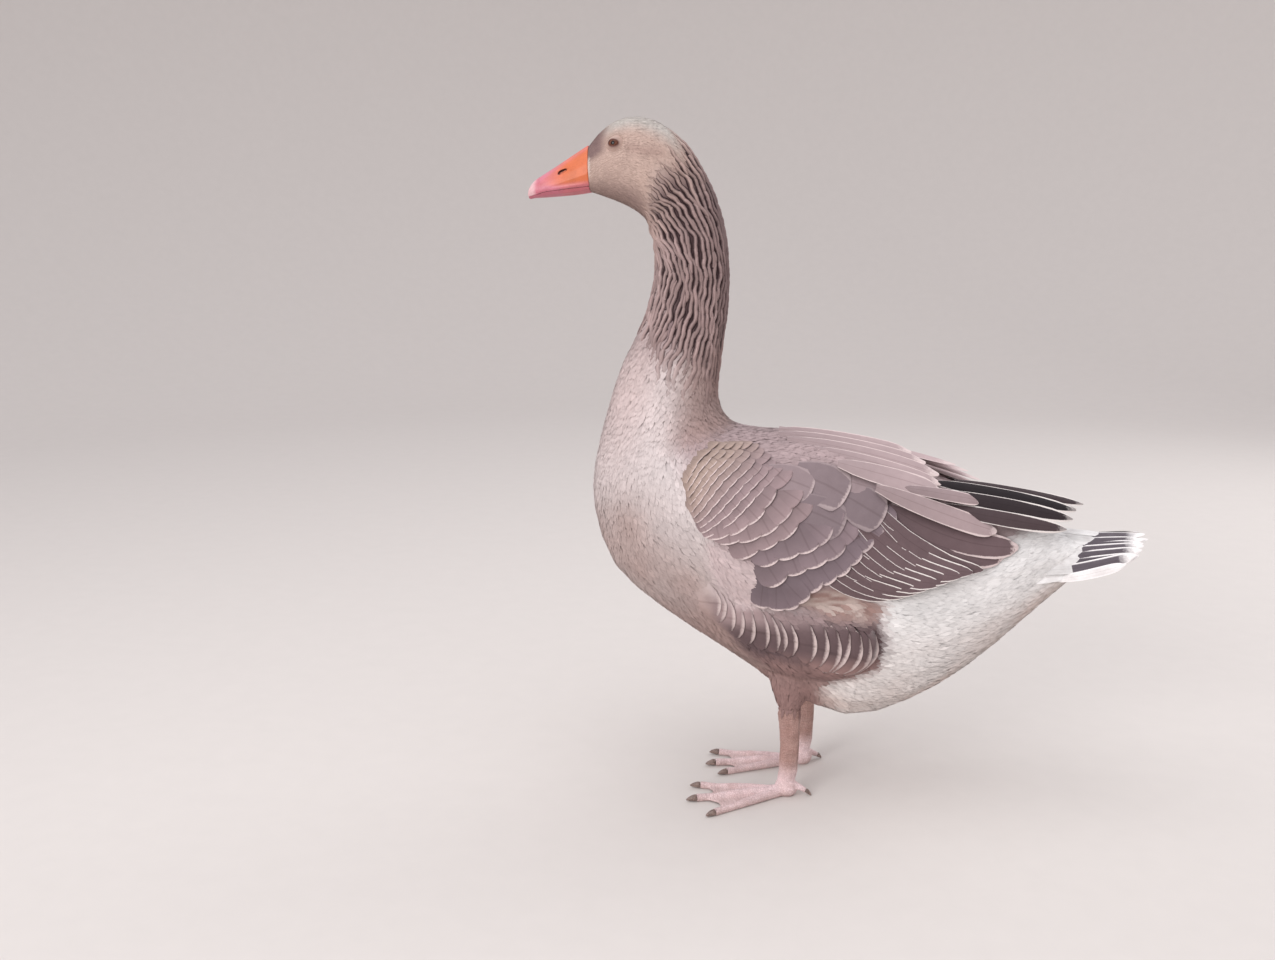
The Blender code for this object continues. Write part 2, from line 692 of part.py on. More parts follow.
def make_web(root, tips, side, toe_out, helpers):
    """The web: a thin sheet between the toes whose free edge curves in between them."""
    order = ("inner", "middle", "outer")
    edge = [root + heading(side * toe_out) * 0.004]
    for first, second in zip(order, order[1:]):
        a, b = tips[first][0].copy(), tips[second][0].copy()
        a.z = b.z = 0
        a, b = root.lerp(a, 0.95), root.lerp(b, 0.95)
        for k in range(6):
            t = k / 5
            sag = 0.13 * math.sin(math.pi * t)
            edge.append(a.lerp(b, t).lerp(root, sag))
    bm = bmesh.new()
    height = 0.0030
    low = [bm.verts.new(p + Vector((0, 0, height - WEB_HALF_THICKNESS - p.z))) for p in edge]
    top = [bm.verts.new(p + Vector((0, 0, height + WEB_HALF_THICKNESS - p.z))) for p in edge]
    bmesh.ops.remove_doubles(bm, verts=bm.verts, dist=0.00005)
    low, top = [v for v in low if v.is_valid], [v for v in top if v.is_valid]
    for k in range(len(low)):
        nxt = (k + 1) % len(low)
        bm.faces.new((low[k], low[nxt], top[nxt], top[k]))
    for k in range(1, len(low) - 1):
        bm.faces.new((low[0], low[k + 1], low[k]))
        bm.faces.new((top[0], top[k], top[k + 1]))
    return object_from(bm, "web", "leg_skin", helpers)


def make_claw(name, place, ahead, radius, hind, where):
    """A blunt claw that starts a hair in front of its toe and curves down."""
    start = place + ahead * (CLEARANCE + 0.0001)
    length = CLAW_LENGTH * (0.6 if hind else 1.0)
    points, radii = [start], [radius * 0.86]
    for k in range(1, 5):
        t = k / 4
        drop = (place.z - 0.0016) * t**1.6 if not hind else 0.003 * t**1.5
        points.append(start + ahead * length * t - Vector((0, 0, drop)))
        radii.append(radius * 0.86 * (1 - t) ** 0.65 + 0.0006)
    claw = tube(name, points, radii, "claw", where, sides=6)
    lowest = min(v.co.z for v in claw.data.vertices)
    if lowest < 0.0002:
        for v in claw.data.vertices:
            v.co.z += (0.0002 - lowest) * min(1.0, (v.co - start).length / length)
            v.co.z = max(v.co.z, 0.0)
    return claw


# ---------------------------------------------------------------- the whole bird
def main():
    clear_scene()
    bird = collection("domestic_goose")
    helpers = collection("construction_helpers", hidden=True)
    guide = guide_surface()

    throat, slope, collar, vent = map(
        station_index, ("throat", "neck_slope", "collar", "vent"))
    end = len(BODY) - 1
    head = body_length("head", 0, throat, "body_pale", bird)
    body_length("neck_upper", throat, slope, "neck_ruffled", bird)
    body_length("neck_lower", slope, collar, "neck_ruffled", bird)
    body_length("trunk", collar, vent, "body_pale", bird)
    body_length("rump", vent, end, "plumage_white", bird)
    body_cutter = body_length("body_cutter", slope, end, None, helpers, out=CLEARANCE)

    make_eyes(head, bird, helpers)
    make_bill(bird, helpers)

    boolean(feather_fan(TAIL_FAN, "plumage_dark", bird), [body_cutter], "DIFFERENCE")
    primaries = feather_fan(PRIMARIES_FAN, "plumage_dark", bird)
    mirrored(primaries, "wing_right_primaries", bird)
    for tract in (COVERTS, TERTIALS, SECONDARY_ROW, FLANK_TRACT):
        left = plumage_shell(tract, guide, bird)
        right = mirrored(left, tract.name.replace("left", "right"), bird)
        for part in (left, right):
            boolean(part, [body_cutter], "DIFFERENCE")

    for side, leg_x, toe_out, spread in (
        (-1, LEFT_LEG_X, LEFT_TOE_OUT, LEFT_TOE_SPREAD),
        (1, RIGHT_LEG_X, RIGHT_TOE_OUT, RIGHT_TOE_SPREAD),
    ):
        make_thigh(side, leg_x, body_cutter, bird)
        make_tarsus(side, leg_x, bird)
        make_foot(side, leg_x, toe_out, spread, bird, helpers)
    for helper in helpers.objects:
        helper.hide_render = True
        helper.display_type = "WIRE"


if __name__ == "__main__":
    main()
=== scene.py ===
"""A still, life-size grey farm goose: skin, plumage, bill, eyes and bare legs round its solids."""

import math
from collections import namedtuple

import bmesh
import bpy
import numpy as np
from bpy.props import FloatProperty, FloatVectorProperty, PointerProperty
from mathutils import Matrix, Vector
from mathutils.bvhtree import BVHTree


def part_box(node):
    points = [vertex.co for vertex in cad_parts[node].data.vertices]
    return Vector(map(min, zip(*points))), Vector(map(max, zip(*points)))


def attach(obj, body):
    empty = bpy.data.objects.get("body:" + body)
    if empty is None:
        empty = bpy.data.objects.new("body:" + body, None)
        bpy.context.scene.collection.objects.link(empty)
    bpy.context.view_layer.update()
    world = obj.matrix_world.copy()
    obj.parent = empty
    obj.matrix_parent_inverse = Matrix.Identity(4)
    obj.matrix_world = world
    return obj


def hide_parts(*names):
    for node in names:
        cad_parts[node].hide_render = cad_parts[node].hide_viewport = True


bl_info = {
    "name": "Grey Farm Goose",
    "version": (1, 0, 0),
    "blender": (4, 5, 0),
    "location": "3D View > Sidebar > Goose",
    "description": "Dresses the goose's solids in skin, plumage, bill, eyes and bare legs, with a studio",
    "category": "Object",
}

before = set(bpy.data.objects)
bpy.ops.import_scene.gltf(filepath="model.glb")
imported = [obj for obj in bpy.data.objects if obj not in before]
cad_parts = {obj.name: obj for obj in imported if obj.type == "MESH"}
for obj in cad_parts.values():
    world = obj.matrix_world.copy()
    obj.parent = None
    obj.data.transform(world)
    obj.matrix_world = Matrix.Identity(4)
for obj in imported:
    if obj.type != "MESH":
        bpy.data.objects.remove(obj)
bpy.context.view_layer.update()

SIDES = {"left": -1.0, "right": 1.0}
BAKE_PATCH = 0.003  # how much of the unrolled body one feather takes up

FLESH_NODES = ("head", "neck_upper", "neck_lower", "trunk", "rump", "thigh_left", "thigh_right")
PLUMAGE_NODES = tuple(
    f"{name}_{side}" if name == "flank" else f"wing_{side}_{name}"
    for side in SIDES
    for name in ("coverts", "tertials", "secondaries", "flank")
)
BILL_NODES = ("bill_upper", "bill_lower", "bill_nail")
BARE_NODES = ("tarsus_left", "tarsus_right", "foot_left", "foot_right")

# The body from bill to tail: (x, z) on the back, (x, z) on the throat or belly, and half the width.
BODY_LINES = {
    "bill_root": ((-0.2720, 0.7225), (-0.2690, 0.6700), 0.0180),
    "brow": ((-0.2610, 0.7350), (-0.2600, 0.6670), 0.0215),
    "eye": ((-0.2425, 0.7480), (-0.2430, 0.6610), 0.0270),
    "crown": ((-0.2150, 0.7520), (-0.2270, 0.6540), 0.0310),
    "nape": ((-0.1812, 0.7370), (-0.2110, 0.6430), 0.0325),
    "throat": ((-0.1480, 0.6950), (-0.2030, 0.6250), 0.0335),
    "neck_top": ((-0.1255, 0.6400), (-0.2000, 0.6020), 0.0340),
    "neck_middle": ((-0.1180, 0.5840), (-0.2010, 0.5780), 0.0345),
    "neck_slope": ((-0.1205, 0.5350), (-0.2120, 0.5350), 0.0365),
    "neck_foot": ((-0.1260, 0.4870), (-0.2360, 0.4870), 0.0450),
    "collar": ((-0.1260, 0.4480), (-0.2540, 0.4340), 0.0590),
    "shoulders": ((-0.1150, 0.4250), (-0.2690, 0.3720), 0.0790),
    "breast": ((-0.0960, 0.4180), (-0.2700, 0.3200), 0.0930),
    "breast_low": ((-0.0700, 0.4160), (-0.2460, 0.2520), 0.1010),
    "keel": ((-0.0350, 0.4150), (-0.1880, 0.2020), 0.1045),
    "thighs": ((0.0080, 0.4100), (-0.1150, 0.1560), 0.1060),
    "belly": ((0.0480, 0.3980), (-0.0460, 0.1130), 0.1050),
    "paunch": ((0.0880, 0.3810), (0.0200, 0.0850), 0.1000),
    "paunch_end": ((0.1300, 0.3600), (0.0900, 0.1040), 0.0880),
    "vent": ((0.1750, 0.3400), (0.1560, 0.1470), 0.0700),
    "tail_coverts": ((0.2180, 0.3230), (0.2140, 0.2020), 0.0500),
    "tail_root": ((0.2500, 0.3110), (0.2600, 0.2470), 0.0340),
    "coverts_end": ((0.2720, 0.3050), (0.2880, 0.2680), 0.0240),
}
BACK_LINE = np.array([line[0] for line in BODY_LINES.values()])
FRONT_LINE = np.array([line[1] for line in BODY_LINES.values()])
HALF_WIDTHS = np.array([line[2] for line in BODY_LINES.values()])
LAST_LINE = len(BACK_LINE) - 1.001
FACE_STEP = 0.012  # what counts as one line ahead of the first
FACE_HEIGHT = 0.62  # only the head reaches ahead of the first line, and it is higher than this
WING_INNER_SIDE = 0.045  # the wings lie farther out than this


# Small sums


def unit(vectors):
    return vectors / np.maximum(np.linalg.norm(vectors, axis=-1, keepdims=True), 1e-12)


def mix(a, b, share):
    return a + (b - a) * share


def rise(value, low, high):
    """0 below low, 1 above high and a smooth slope between them."""
    t = np.clip((np.asarray(value, float) - low) / (high - low), 0.0, 1.0)
    return t * t * (3.0 - 2.0 * t)


def hump(value, low, high, soft):
    """1 between low and high, fading over soft on both sides."""
    return rise(value, low - soft, low) * (1.0 - rise(value, high, high + soft))


def columns_of(table):
    return (np.array(column) for column in zip(*table))


def varied(amount, draw, count):
    """Factors that vary about 1, for the sizes of feathers."""
    return 1.0 + amount * draw.normal(size=count).clip(-2, 2)


def uneven(tint, amount, draw, count):
    """A tint made a little lighter or darker from feather to feather."""
    return np.asarray(tint) * (1.0 + amount * draw.normal(size=(count, 1)))


def dot(a, b):
    return (a * b).sum(-1, keepdims=True)


def tone(red, green, blue):
    """A colour given as the eye sees it, 0 to 255, as linear light."""
    shares = np.array([red, green, blue]) / 255.0
    dark, light = shares / 12.92, ((shares + 0.055) / 1.055) ** 2.4
    return tuple(float(x) for x in np.where(shares <= 0.04045, dark, light))


def value_noise(points, size, seed=0):
    """Smooth noise from -1 to 1, with lumps about size across."""
    grid = np.asarray(points, float) / size + seed * 19.17
    cell = np.floor(grid).astype(np.int64)
    share = grid - cell
    share = share * share * (3.0 - 2.0 * share)
    total = np.zeros(len(grid))
    for corner in range(8):
        step = np.array([corner & 1, corner >> 1 & 1, corner >> 2 & 1])
        at = cell + step
        mixed = (at[:, 0] * 73856093) ^ (at[:, 1] * 19349663) ^ (at[:, 2] * 83492791)
        mixed = (mixed ^ (mixed >> 13)) * 1274126177
        level = ((mixed >> 8) & 0xFFFF) / 32767.5 - 1.0
        total += level * np.prod(np.where(step == 1, share, 1.0 - share), axis=1)
    return total


def smooth_path(points, count):
    """count points evenly along a smooth curve through a few."""
    points = np.asarray(points, float)
    ends = np.vstack([2 * points[0] - points[1], points, 2 * points[-1] - points[-2]])
    fine = []
    for i in range(1, len(ends) - 2):
        a, b, c, d = ends[i - 1 : i + 3]
        t = np.linspace(0, 1, 24, endpoint=False)[:, None]
        curve = 2 * b + (c - a) * t + (2 * a - 5 * b + 4 * c - d) * t**2 + (3 * b - a - 3 * c + d) * t**3
        fine.append(0.5 * curve)
    fine = np.vstack(fine + [points[-1:]])
    gone = np.concatenate([[0.0], np.cumsum(np.linalg.norm(np.diff(fine, axis=0), axis=1))])
    wanted = np.linspace(0.0, gone[-1], count)
    return np.stack([np.interp(wanted, gone, fine[:, k]) for k in range(points.shape[1])], axis=1)


# Places on the body


def body_axis(line):
    """Centre, half the height as a vector to the back, and half the width, at a fractional line."""
    last = len(BACK_LINE) - 1
    low = np.clip(np.floor(line).astype(int), 0, last - 1)
    share = (line - low)[..., None]
    back = mix(BACK_LINE[low], BACK_LINE[low + 1], share)
    front = mix(FRONT_LINE[low], FRONT_LINE[low + 1], share)
    width = mix(HALF_WIDTHS[low], HALF_WIDTHS[low + 1], share[..., 0])
    zero = np.zeros(back.shape[:-1])
    centre, up = (back + front) / 2, (back - front) / 2
    return (
        np.stack([centre[..., 0], zero, centre[..., 1]], -1),
        np.stack([up[..., 0], zero, up[..., 1]], -1),
        width,
    )


def place_on_body(points):
    """(line, around) of points: their fractional body line, and the angle from the back, left positive."""
    flat = points[:, [0, 2]]
    across = FRONT_LINE - BACK_LINE
    tailward = unit(np.stack([-across[:, 1], across[:, 0]], 1))
    past = np.einsum("nij,ij->ni", flat[:, None, :] - BACK_LINE[None], tailward)
    between = past[:, :-1] - past[:, 1:]
    share = past[:, :-1] / np.where(between == 0, 1e-9, between)
    fits = (share >= 0) & (share <= 1) & (past[:, :-1] >= 0)
    shares = np.clip(share, 0, 1)[..., None]
    back = mix(BACK_LINE[None, :-1], BACK_LINE[None, 1:], shares)
    front = mix(FRONT_LINE[None, :-1], FRONT_LINE[None, 1:], shares)
    reach = ((flat[:, None] - back) * (front - back)).sum(-1) / ((front - back) ** 2).sum(-1)
    off_centre = np.where(fits, np.abs(reach - 0.5), 1e3)
    chosen = off_centre.argmin(1)
    rows = np.arange(len(points))
    line = chosen + shares[rows, chosen, 0]
    lost = off_centre[rows, chosen] > 1.5
    line = np.where(lost, LAST_LINE, line)
    before = (past[:, 0] < 0) & (flat[:, 1] > FACE_HEIGHT)
    line = np.where(before, past[:, 0] / FACE_STEP, line)
    centre, up, width = body_axis(np.maximum(line, 0.0))
    high = ((points - centre) * up).sum(1) / (up**2).sum(1)
    return line, np.arctan2(-points[:, 1] / width, high)


AXIS_CENTRES = (BACK_LINE + FRONT_LINE) / 2
AXIS_LENGTHS = np.concatenate([[0.0], np.cumsum(np.linalg.norm(np.diff(AXIS_CENTRES, axis=0), axis=1))])


def bake_place(points):
    """Where points lie on the unrolled body: along it, and around it."""
    line, around = place_on_body(points)
    along = np.interp(line, np.arange(len(AXIS_LENGTHS)), AXIS_LENGTHS) / AXIS_LENGTHS[-1]
    return np.stack([0.02 + 0.96 * along, 0.02 + 0.96 * (around / (2 * math.pi) + 0.5)], 1)


def lie_of_coat(points):
    """Which way feathers point: from the bill over the crown, down the neck and back along the body."""
    line, _ = place_on_body(points)
    ahead, _, _ = body_axis(np.clip(line + 0.35, 0, LAST_LINE))
    behind, _, _ = body_axis(np.clip(line - 0.35, 0, LAST_LINE))
    heading = unit(ahead - behind)
    down_the_leg = leg_share(points)[:, None]
    return unit(mix(heading, np.array([-0.1, 0.0, -1.0]), down_the_leg))


def leg_share(points):
    """1 on the feathered thighs, 0 on the body."""
    low = 1.0 - rise(points[:, 2], 0.135, 0.185)
    near = np.zeros(len(points))
    for leg in ("left", "right"):
        low_corner, high_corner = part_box(f"thigh_{leg}")
        middle_x = (low_corner.x + high_corner.x) / 2
        middle_y = (low_corner.y + high_corner.y) / 2
        away = np.hypot(points[:, 0] - middle_x, points[:, 1] - middle_y)
        near = np.maximum(near, 1.0 - rise(away, 0.030, 0.046))
    return low * near


def read(items, attribute, width, kind=float):
    """One attribute of many items of a mesh, as rows."""
    values = np.empty(len(items) * width, kind)
    items.foreach_get(attribute, values)
    return values.reshape(-1, width)


def vertex_arrays(mesh):
    return read(mesh.vertices, "co", 3), read(mesh.vertices, "normal", 3)


SIDE_REACH = 0.3  # farther out than any part of the goose
CROWDING = 7  # how many points are drawn for each spacing's area, before they are thinned


class Surface:
    """A mesh that feathers are combed over."""

    def __init__(self, obj, material_index=None):
        mesh = obj.data
        mesh.calc_loop_triangles()
        self.points = read(mesh.vertices, "co", 3)
        self.triangles = read(mesh.loop_triangles, "vertices", 3, np.int64)
        if material_index is not None:
            kinds = read(mesh.loop_triangles, "material_index", 1, np.int64)
            self.triangles = self.triangles[kinds[:, 0] == material_index]
        corners = self.points[self.triangles]
        faces = np.cross(corners[:, 1] - corners[:, 0], corners[:, 2] - corners[:, 0])
        self.areas = np.linalg.norm(faces, axis=1) / 2
        self.normals = np.zeros_like(self.points)
        for k in range(3):
            np.add.at(self.normals, self.triangles[:, k], faces)
        self.normals = unit(self.normals)
        self.tree = BVHTree.FromPolygons(self.points.tolist(), self.triangles.tolist())

    def _blend_normals(self, points, faces):
        corners = self.points[self.triangles[faces]]
        a, b, c = corners[:, 0], corners[:, 1], corners[:, 2]
        whole = np.cross(b - a, c - a)
        size = np.maximum((whole**2).sum(1), 1e-20)
        u = (np.cross(c - b, points - b) * whole).sum(1) / size
        v = (np.cross(a - c, points - c) * whole).sum(1) / size
        shares = np.clip(np.stack([u, v, 1 - u - v], 1), 0, 1)
        return unit((self.normals[self.triangles[faces]] * shares[..., None]).sum(1))

    def nearest(self, points):
        """The nearest points of the surface and its smooth normals there."""
        shape = points.shape
        find = self.tree.find_nearest
        hits = [find(p) for p in points.reshape(-1, 3).tolist()]
        found = np.array([hit[0][:] for hit in hits])
        normals = self._blend_normals(found, np.array([hit[2] for hit in hits]))
        return found.reshape(shape), normals.reshape(shape)

    def cast(self, origins, directions):
        """Where rays first meet the surface; a ray that misses gives the nearest point instead."""
        found = np.empty_like(origins)
        for i, (origin, direction) in enumerate(zip(origins.tolist(), directions.tolist())):
            hit = self.tree.ray_cast(origin, direction)
            found[i] = hit[0] if hit[0] is not None else self.tree.find_nearest(origin)[0]
        return self.nearest(found)

    def from_side(self, xz):
        """Points of the body's left side, given as the side view shows them."""
        xz = np.asarray(xz, float).reshape(-1, 2)
        origins = np.stack([xz[:, 0], np.full(len(xz), -SIDE_REACH), xz[:, 1]], 1)
        hits = [self.tree.ray_cast(origin, (0.0, 1.0, 0.0))[0] for origin in origins.tolist()]
        fallback = origins * [1, 0.15, 1]
        found = np.array([h[:] if h is not None else f for h, f in zip(hits, fallback.tolist())])
        return self.nearest(found)

    def scatter(self, spacing, wanted, seed):
        """Points about spacing apart over the part of the surface where wanted(points) is true."""
        draw = np.random.default_rng(seed)
        middles = self.points[self.triangles].mean(1)
        kept = np.flatnonzero(wanted(middles))
        areas = self.areas[kept]
        count = int(CROWDING * areas.sum() / spacing**2)
        faces = kept[draw.choice(len(kept), count, p=areas / areas.sum())]
        u, v = draw.random(count), draw.random(count)
        over = u + v > 1
        u[over], v[over] = 1 - u[over], 1 - v[over]
        a, b, c = (self.points[self.triangles[faces, k]] for k in range(3))
        points = a + (b - a) * u[:, None] + (c - a) * v[:, None]
        for shift in (0.0, 0.5):
            cells = np.floor(points / spacing + shift).astype(np.int64)
            _, first = np.unique(cells, axis=0, return_index=True)
            points = points[np.sort(first)]
        return points


BUILT = {}


def body_surface():
    if "surface" not in BUILT:
        BUILT["surface"] = Surface(bpy.data.objects["goose_skin"], material_index=0)
    return BUILT["surface"]


# Colours of the coat


def within(points, outline, soft):
    """1 inside a side-view outline, 0 outside, with an edge about soft wide."""
    flat = points[:, [0, 2]]
    corners = np.asarray(outline, float)
    inside = np.zeros(len(flat), bool)
    away = np.full(len(flat), 1e9)
    for a, b in zip(corners, np.roll(corners, -1, axis=0)):
        crosses = (a[1] > flat[:, 1]) != (b[1] > flat[:, 1])
        level = a[0] + (flat[:, 1] - a[1]) / (b[1] - a[1] if b[1] != a[1] else 1e-9) * (b[0] - a[0])
        inside ^= crosses & (flat[:, 0] < level)
        edge = b - a
        t = np.clip(((flat - a) @ edge) / (edge @ edge), 0, 1)[:, None]
        away = np.minimum(away, np.linalg.norm(flat - (a + edge * t), axis=1))
    return rise(np.where(inside, away, -away), -soft, soft)


WHITE_REAR = (
    (0.046, 0.262), (0.110, 0.285), (0.200, 0.310), (0.262, 0.345), (0.300, 0.300),
    (0.300, 0.240), (0.160, 0.110), (0.080, 0.060), (-0.010, 0.070), (-0.034, 0.120),
    (0.004, 0.154), (0.046, 0.166), (0.056, 0.200),
)
DARK_FLANK = (
    (-0.126, 0.240), (-0.105, 0.236), (-0.030, 0.238), (0.040, 0.232), (0.056, 0.205),
    (0.050, 0.170), (0.010, 0.150), (-0.060, 0.160), (-0.100, 0.185), (-0.120, 0.215),
)
# The breast's side feathers, which lie over the lower front of the wing.
SIDE_PATCH = (
    (-0.1350, 0.3140), (-0.1130, 0.3080), (-0.0960, 0.2950), (-0.0700, 0.2830), (-0.0560, 0.2660),
    (-0.0600, 0.2420), (-0.1003, 0.2330), (-0.1222, 0.2450), (-0.1348, 0.2800),
)
OCHRE_PATCH = (
    (-0.036, 0.244), (-0.020, 0.259), (0.012, 0.264), (0.040, 0.248), (0.056, 0.240), (0.036, 0.229),
    (-0.005, 0.232),
)
WING_OUTLINE = (
    (-0.151, 0.365), (-0.149, 0.385), (-0.130, 0.395), (-0.100, 0.394), (-0.060, 0.388), (0.000, 0.384),
    (0.060, 0.374), (0.110, 0.358), (0.190, 0.336), (0.196, 0.308), (0.122, 0.281), (0.050, 0.248),
    (-0.030, 0.240), (-0.099, 0.240), (-0.120, 0.270), (-0.128, 0.315),
)


def beside(points):
    """True out at the wings, away from the middle of the back."""
    return np.abs(points[:, 1]) > WING_INNER_SIDE


def markings(points, colours):
    """The colour of the coat at any place on the body, before the edges of single feathers."""
    line, around = place_on_body(points)
    turn = np.abs(around)
    wide = value_noise(points, 0.030, 1)
    fine = value_noise(points, 0.009, 2)
    colour = np.tile(colours["breast"], (len(points), 1))

    def lay(name, share):
        nonlocal colour
        colour = mix(colour, colours[name], np.clip(share, 0, 1)[:, None])

    lay("breast_shadow", hump(line, 12.3, 13.8, 1.4) * rise(turn, 1.4, 2.3) * (0.80 + 0.20 * wide))
    on_back = (1.0 - rise(turn, 1.0, 1.5)) * rise(line, 9.6, 11.0)
    lay("mantle", on_back)
    lay("belly_grey", rise(line, 13.4, 14.6) * rise(turn, 1.9, 2.3))
    in_flank = within(points, DARK_FLANK, 0.008)
    lay("flank", in_flank)
    lay("flank_front", in_flank * rise(points[:, 2] - 0.12 * points[:, 0], 0.214, 0.236))
    lay("thigh", in_flank * (1.0 - rise(points[:, 2], 0.168, 0.192)) * (0.8 + 0.2 * wide))
    lay("wing", within(points, WING_OUTLINE, 0.006) * beside(points))
    lay("side_feathers", within(points, SIDE_PATCH, 0.008) * beside(points))
    streak = value_noise(points * [0.45, 1.0, 1.8], 0.007, 3)
    lay("ochre", within(points, OCHRE_PATCH, 0.007))
    lay("cream", within(points, OCHRE_PATCH, 0.009) * rise(streak, -0.1, 0.6) * 0.55)
    in_rear = within(points, WHITE_REAR, 0.006)
    lay("white", in_rear * (1.0 - leg_share(points)))
    lay("rear_stain", in_rear * rise(turn, 1.5, 2.6) * (0.60 + 0.4 * wide))
    lay("white", rise(line, 19.3, 19.8) * (turn < 1.4))
    lay("thigh", leg_share(points))
    lay("neck_front", (1.0 - rise(line, 9.4, 12.4)) * rise(turn, 1.1, 2.2))
    lay("neck_ridge", hump(line, 4.6, 8.0, 1.2) * (1.0 - 0.6 * rise(turn, 1.6, 2.5)))
    lay("nape", hump(line, 5.2, 9.4, 1.0) * (1.0 - rise(turn, 0.30, 0.85)))
    lay("collar", hump(line, 8.8, 10.6, 0.9) * (1.0 - rise(turn, 0.8, 1.7)) * 0.85)
    on_head = 1.0 - rise(line - furrow_start(turn), -0.15, 0.55)
    lay("cheek", 1.0 - rise(line - furrow_start(turn), 0.0, 1.5))
    lay("crown", on_head * (1.0 - rise(turn, 0.35, 0.95)) * rise(line, 0.8, 2.0))
    lay("throat", on_head * rise(turn, 1.8, 2.5))
    behind_eye = np.exp(-(((points[:, 2] - 0.7185 + 0.16 * (points[:, 0] + 0.232)) / 0.006) ** 2))
    lay("eye_streak", on_head * 0.45 * behind_eye * hump(points[:, 0], -0.226, -0.196, 0.012))
    lore = hump(line, -0.3, 0.95, 0.8) * hump(turn, 0.25, 1.1, 0.4)
    lay("lore", on_head * 0.95 * lore)
    lay("bill_edge", (1.0 - rise(line + 0.10 * wide, 0.05, 0.16)) * 0.6 * hump(turn, 1.25, 1.75, 0.3))
    return np.clip(colour * (1.0 + 0.07 * wide + 0.06 * fine)[:, None], 0.0, 1.0)


# Feathers


# A vane's rows from quill to tip, its share of the whole width at each, its points across, and how far the
# corners of its end lie behind the middle, as a share of its length.
Vane = namedtuple("Vane", "rows outline columns round_tip")
DOWN_TUFT = Vane((0.0, 0.5, 1.0), (0.55, 1.0, 0.42), 3, 0.10)
FURROW_VANE = Vane((0.0, 0.12, 0.3, 0.5, 0.7, 0.88, 1.0), (0.2, 0.6, 0.92, 1.0, 0.92, 0.66, 0.2), 7, 0.0)
SOFT_VANE = Vane((0.0, 0.35, 0.7, 1.0), (0.4, 0.95, 0.9, 0.35), 4, 0.12)
WIDE_VANE = Vane((0.0, 0.35, 0.6, 0.78, 0.9, 0.96, 1.0), (0.6, 0.9, 1.0, 1.0, 0.97, 0.90, 0.74), 9, 0.08)
LONG_VANE = Vane(
    (0.0, 0.12, 0.25, 0.38, 0.5, 0.62, 0.74, 0.84, 0.91, 0.96, 1.0),
    (0.35, 0.7, 0.86, 0.94, 0.98, 1.0, 1.0, 0.96, 0.84, 0.66, 0.40),
    7,
    0.035,
)
POINTED_VANE = LONG_VANE._replace(
    outline=(0.35, 0.7, 0.86, 0.94, 0.98, 1.0, 0.98, 0.88, 0.70, 0.46, 0.12), round_tip=0.0
)


LOWEST_LIFT = 0.0006  # keeps the quill's end of a large feather off the skin
DOWN_LIFT = 0.0002  # the same for the small ones


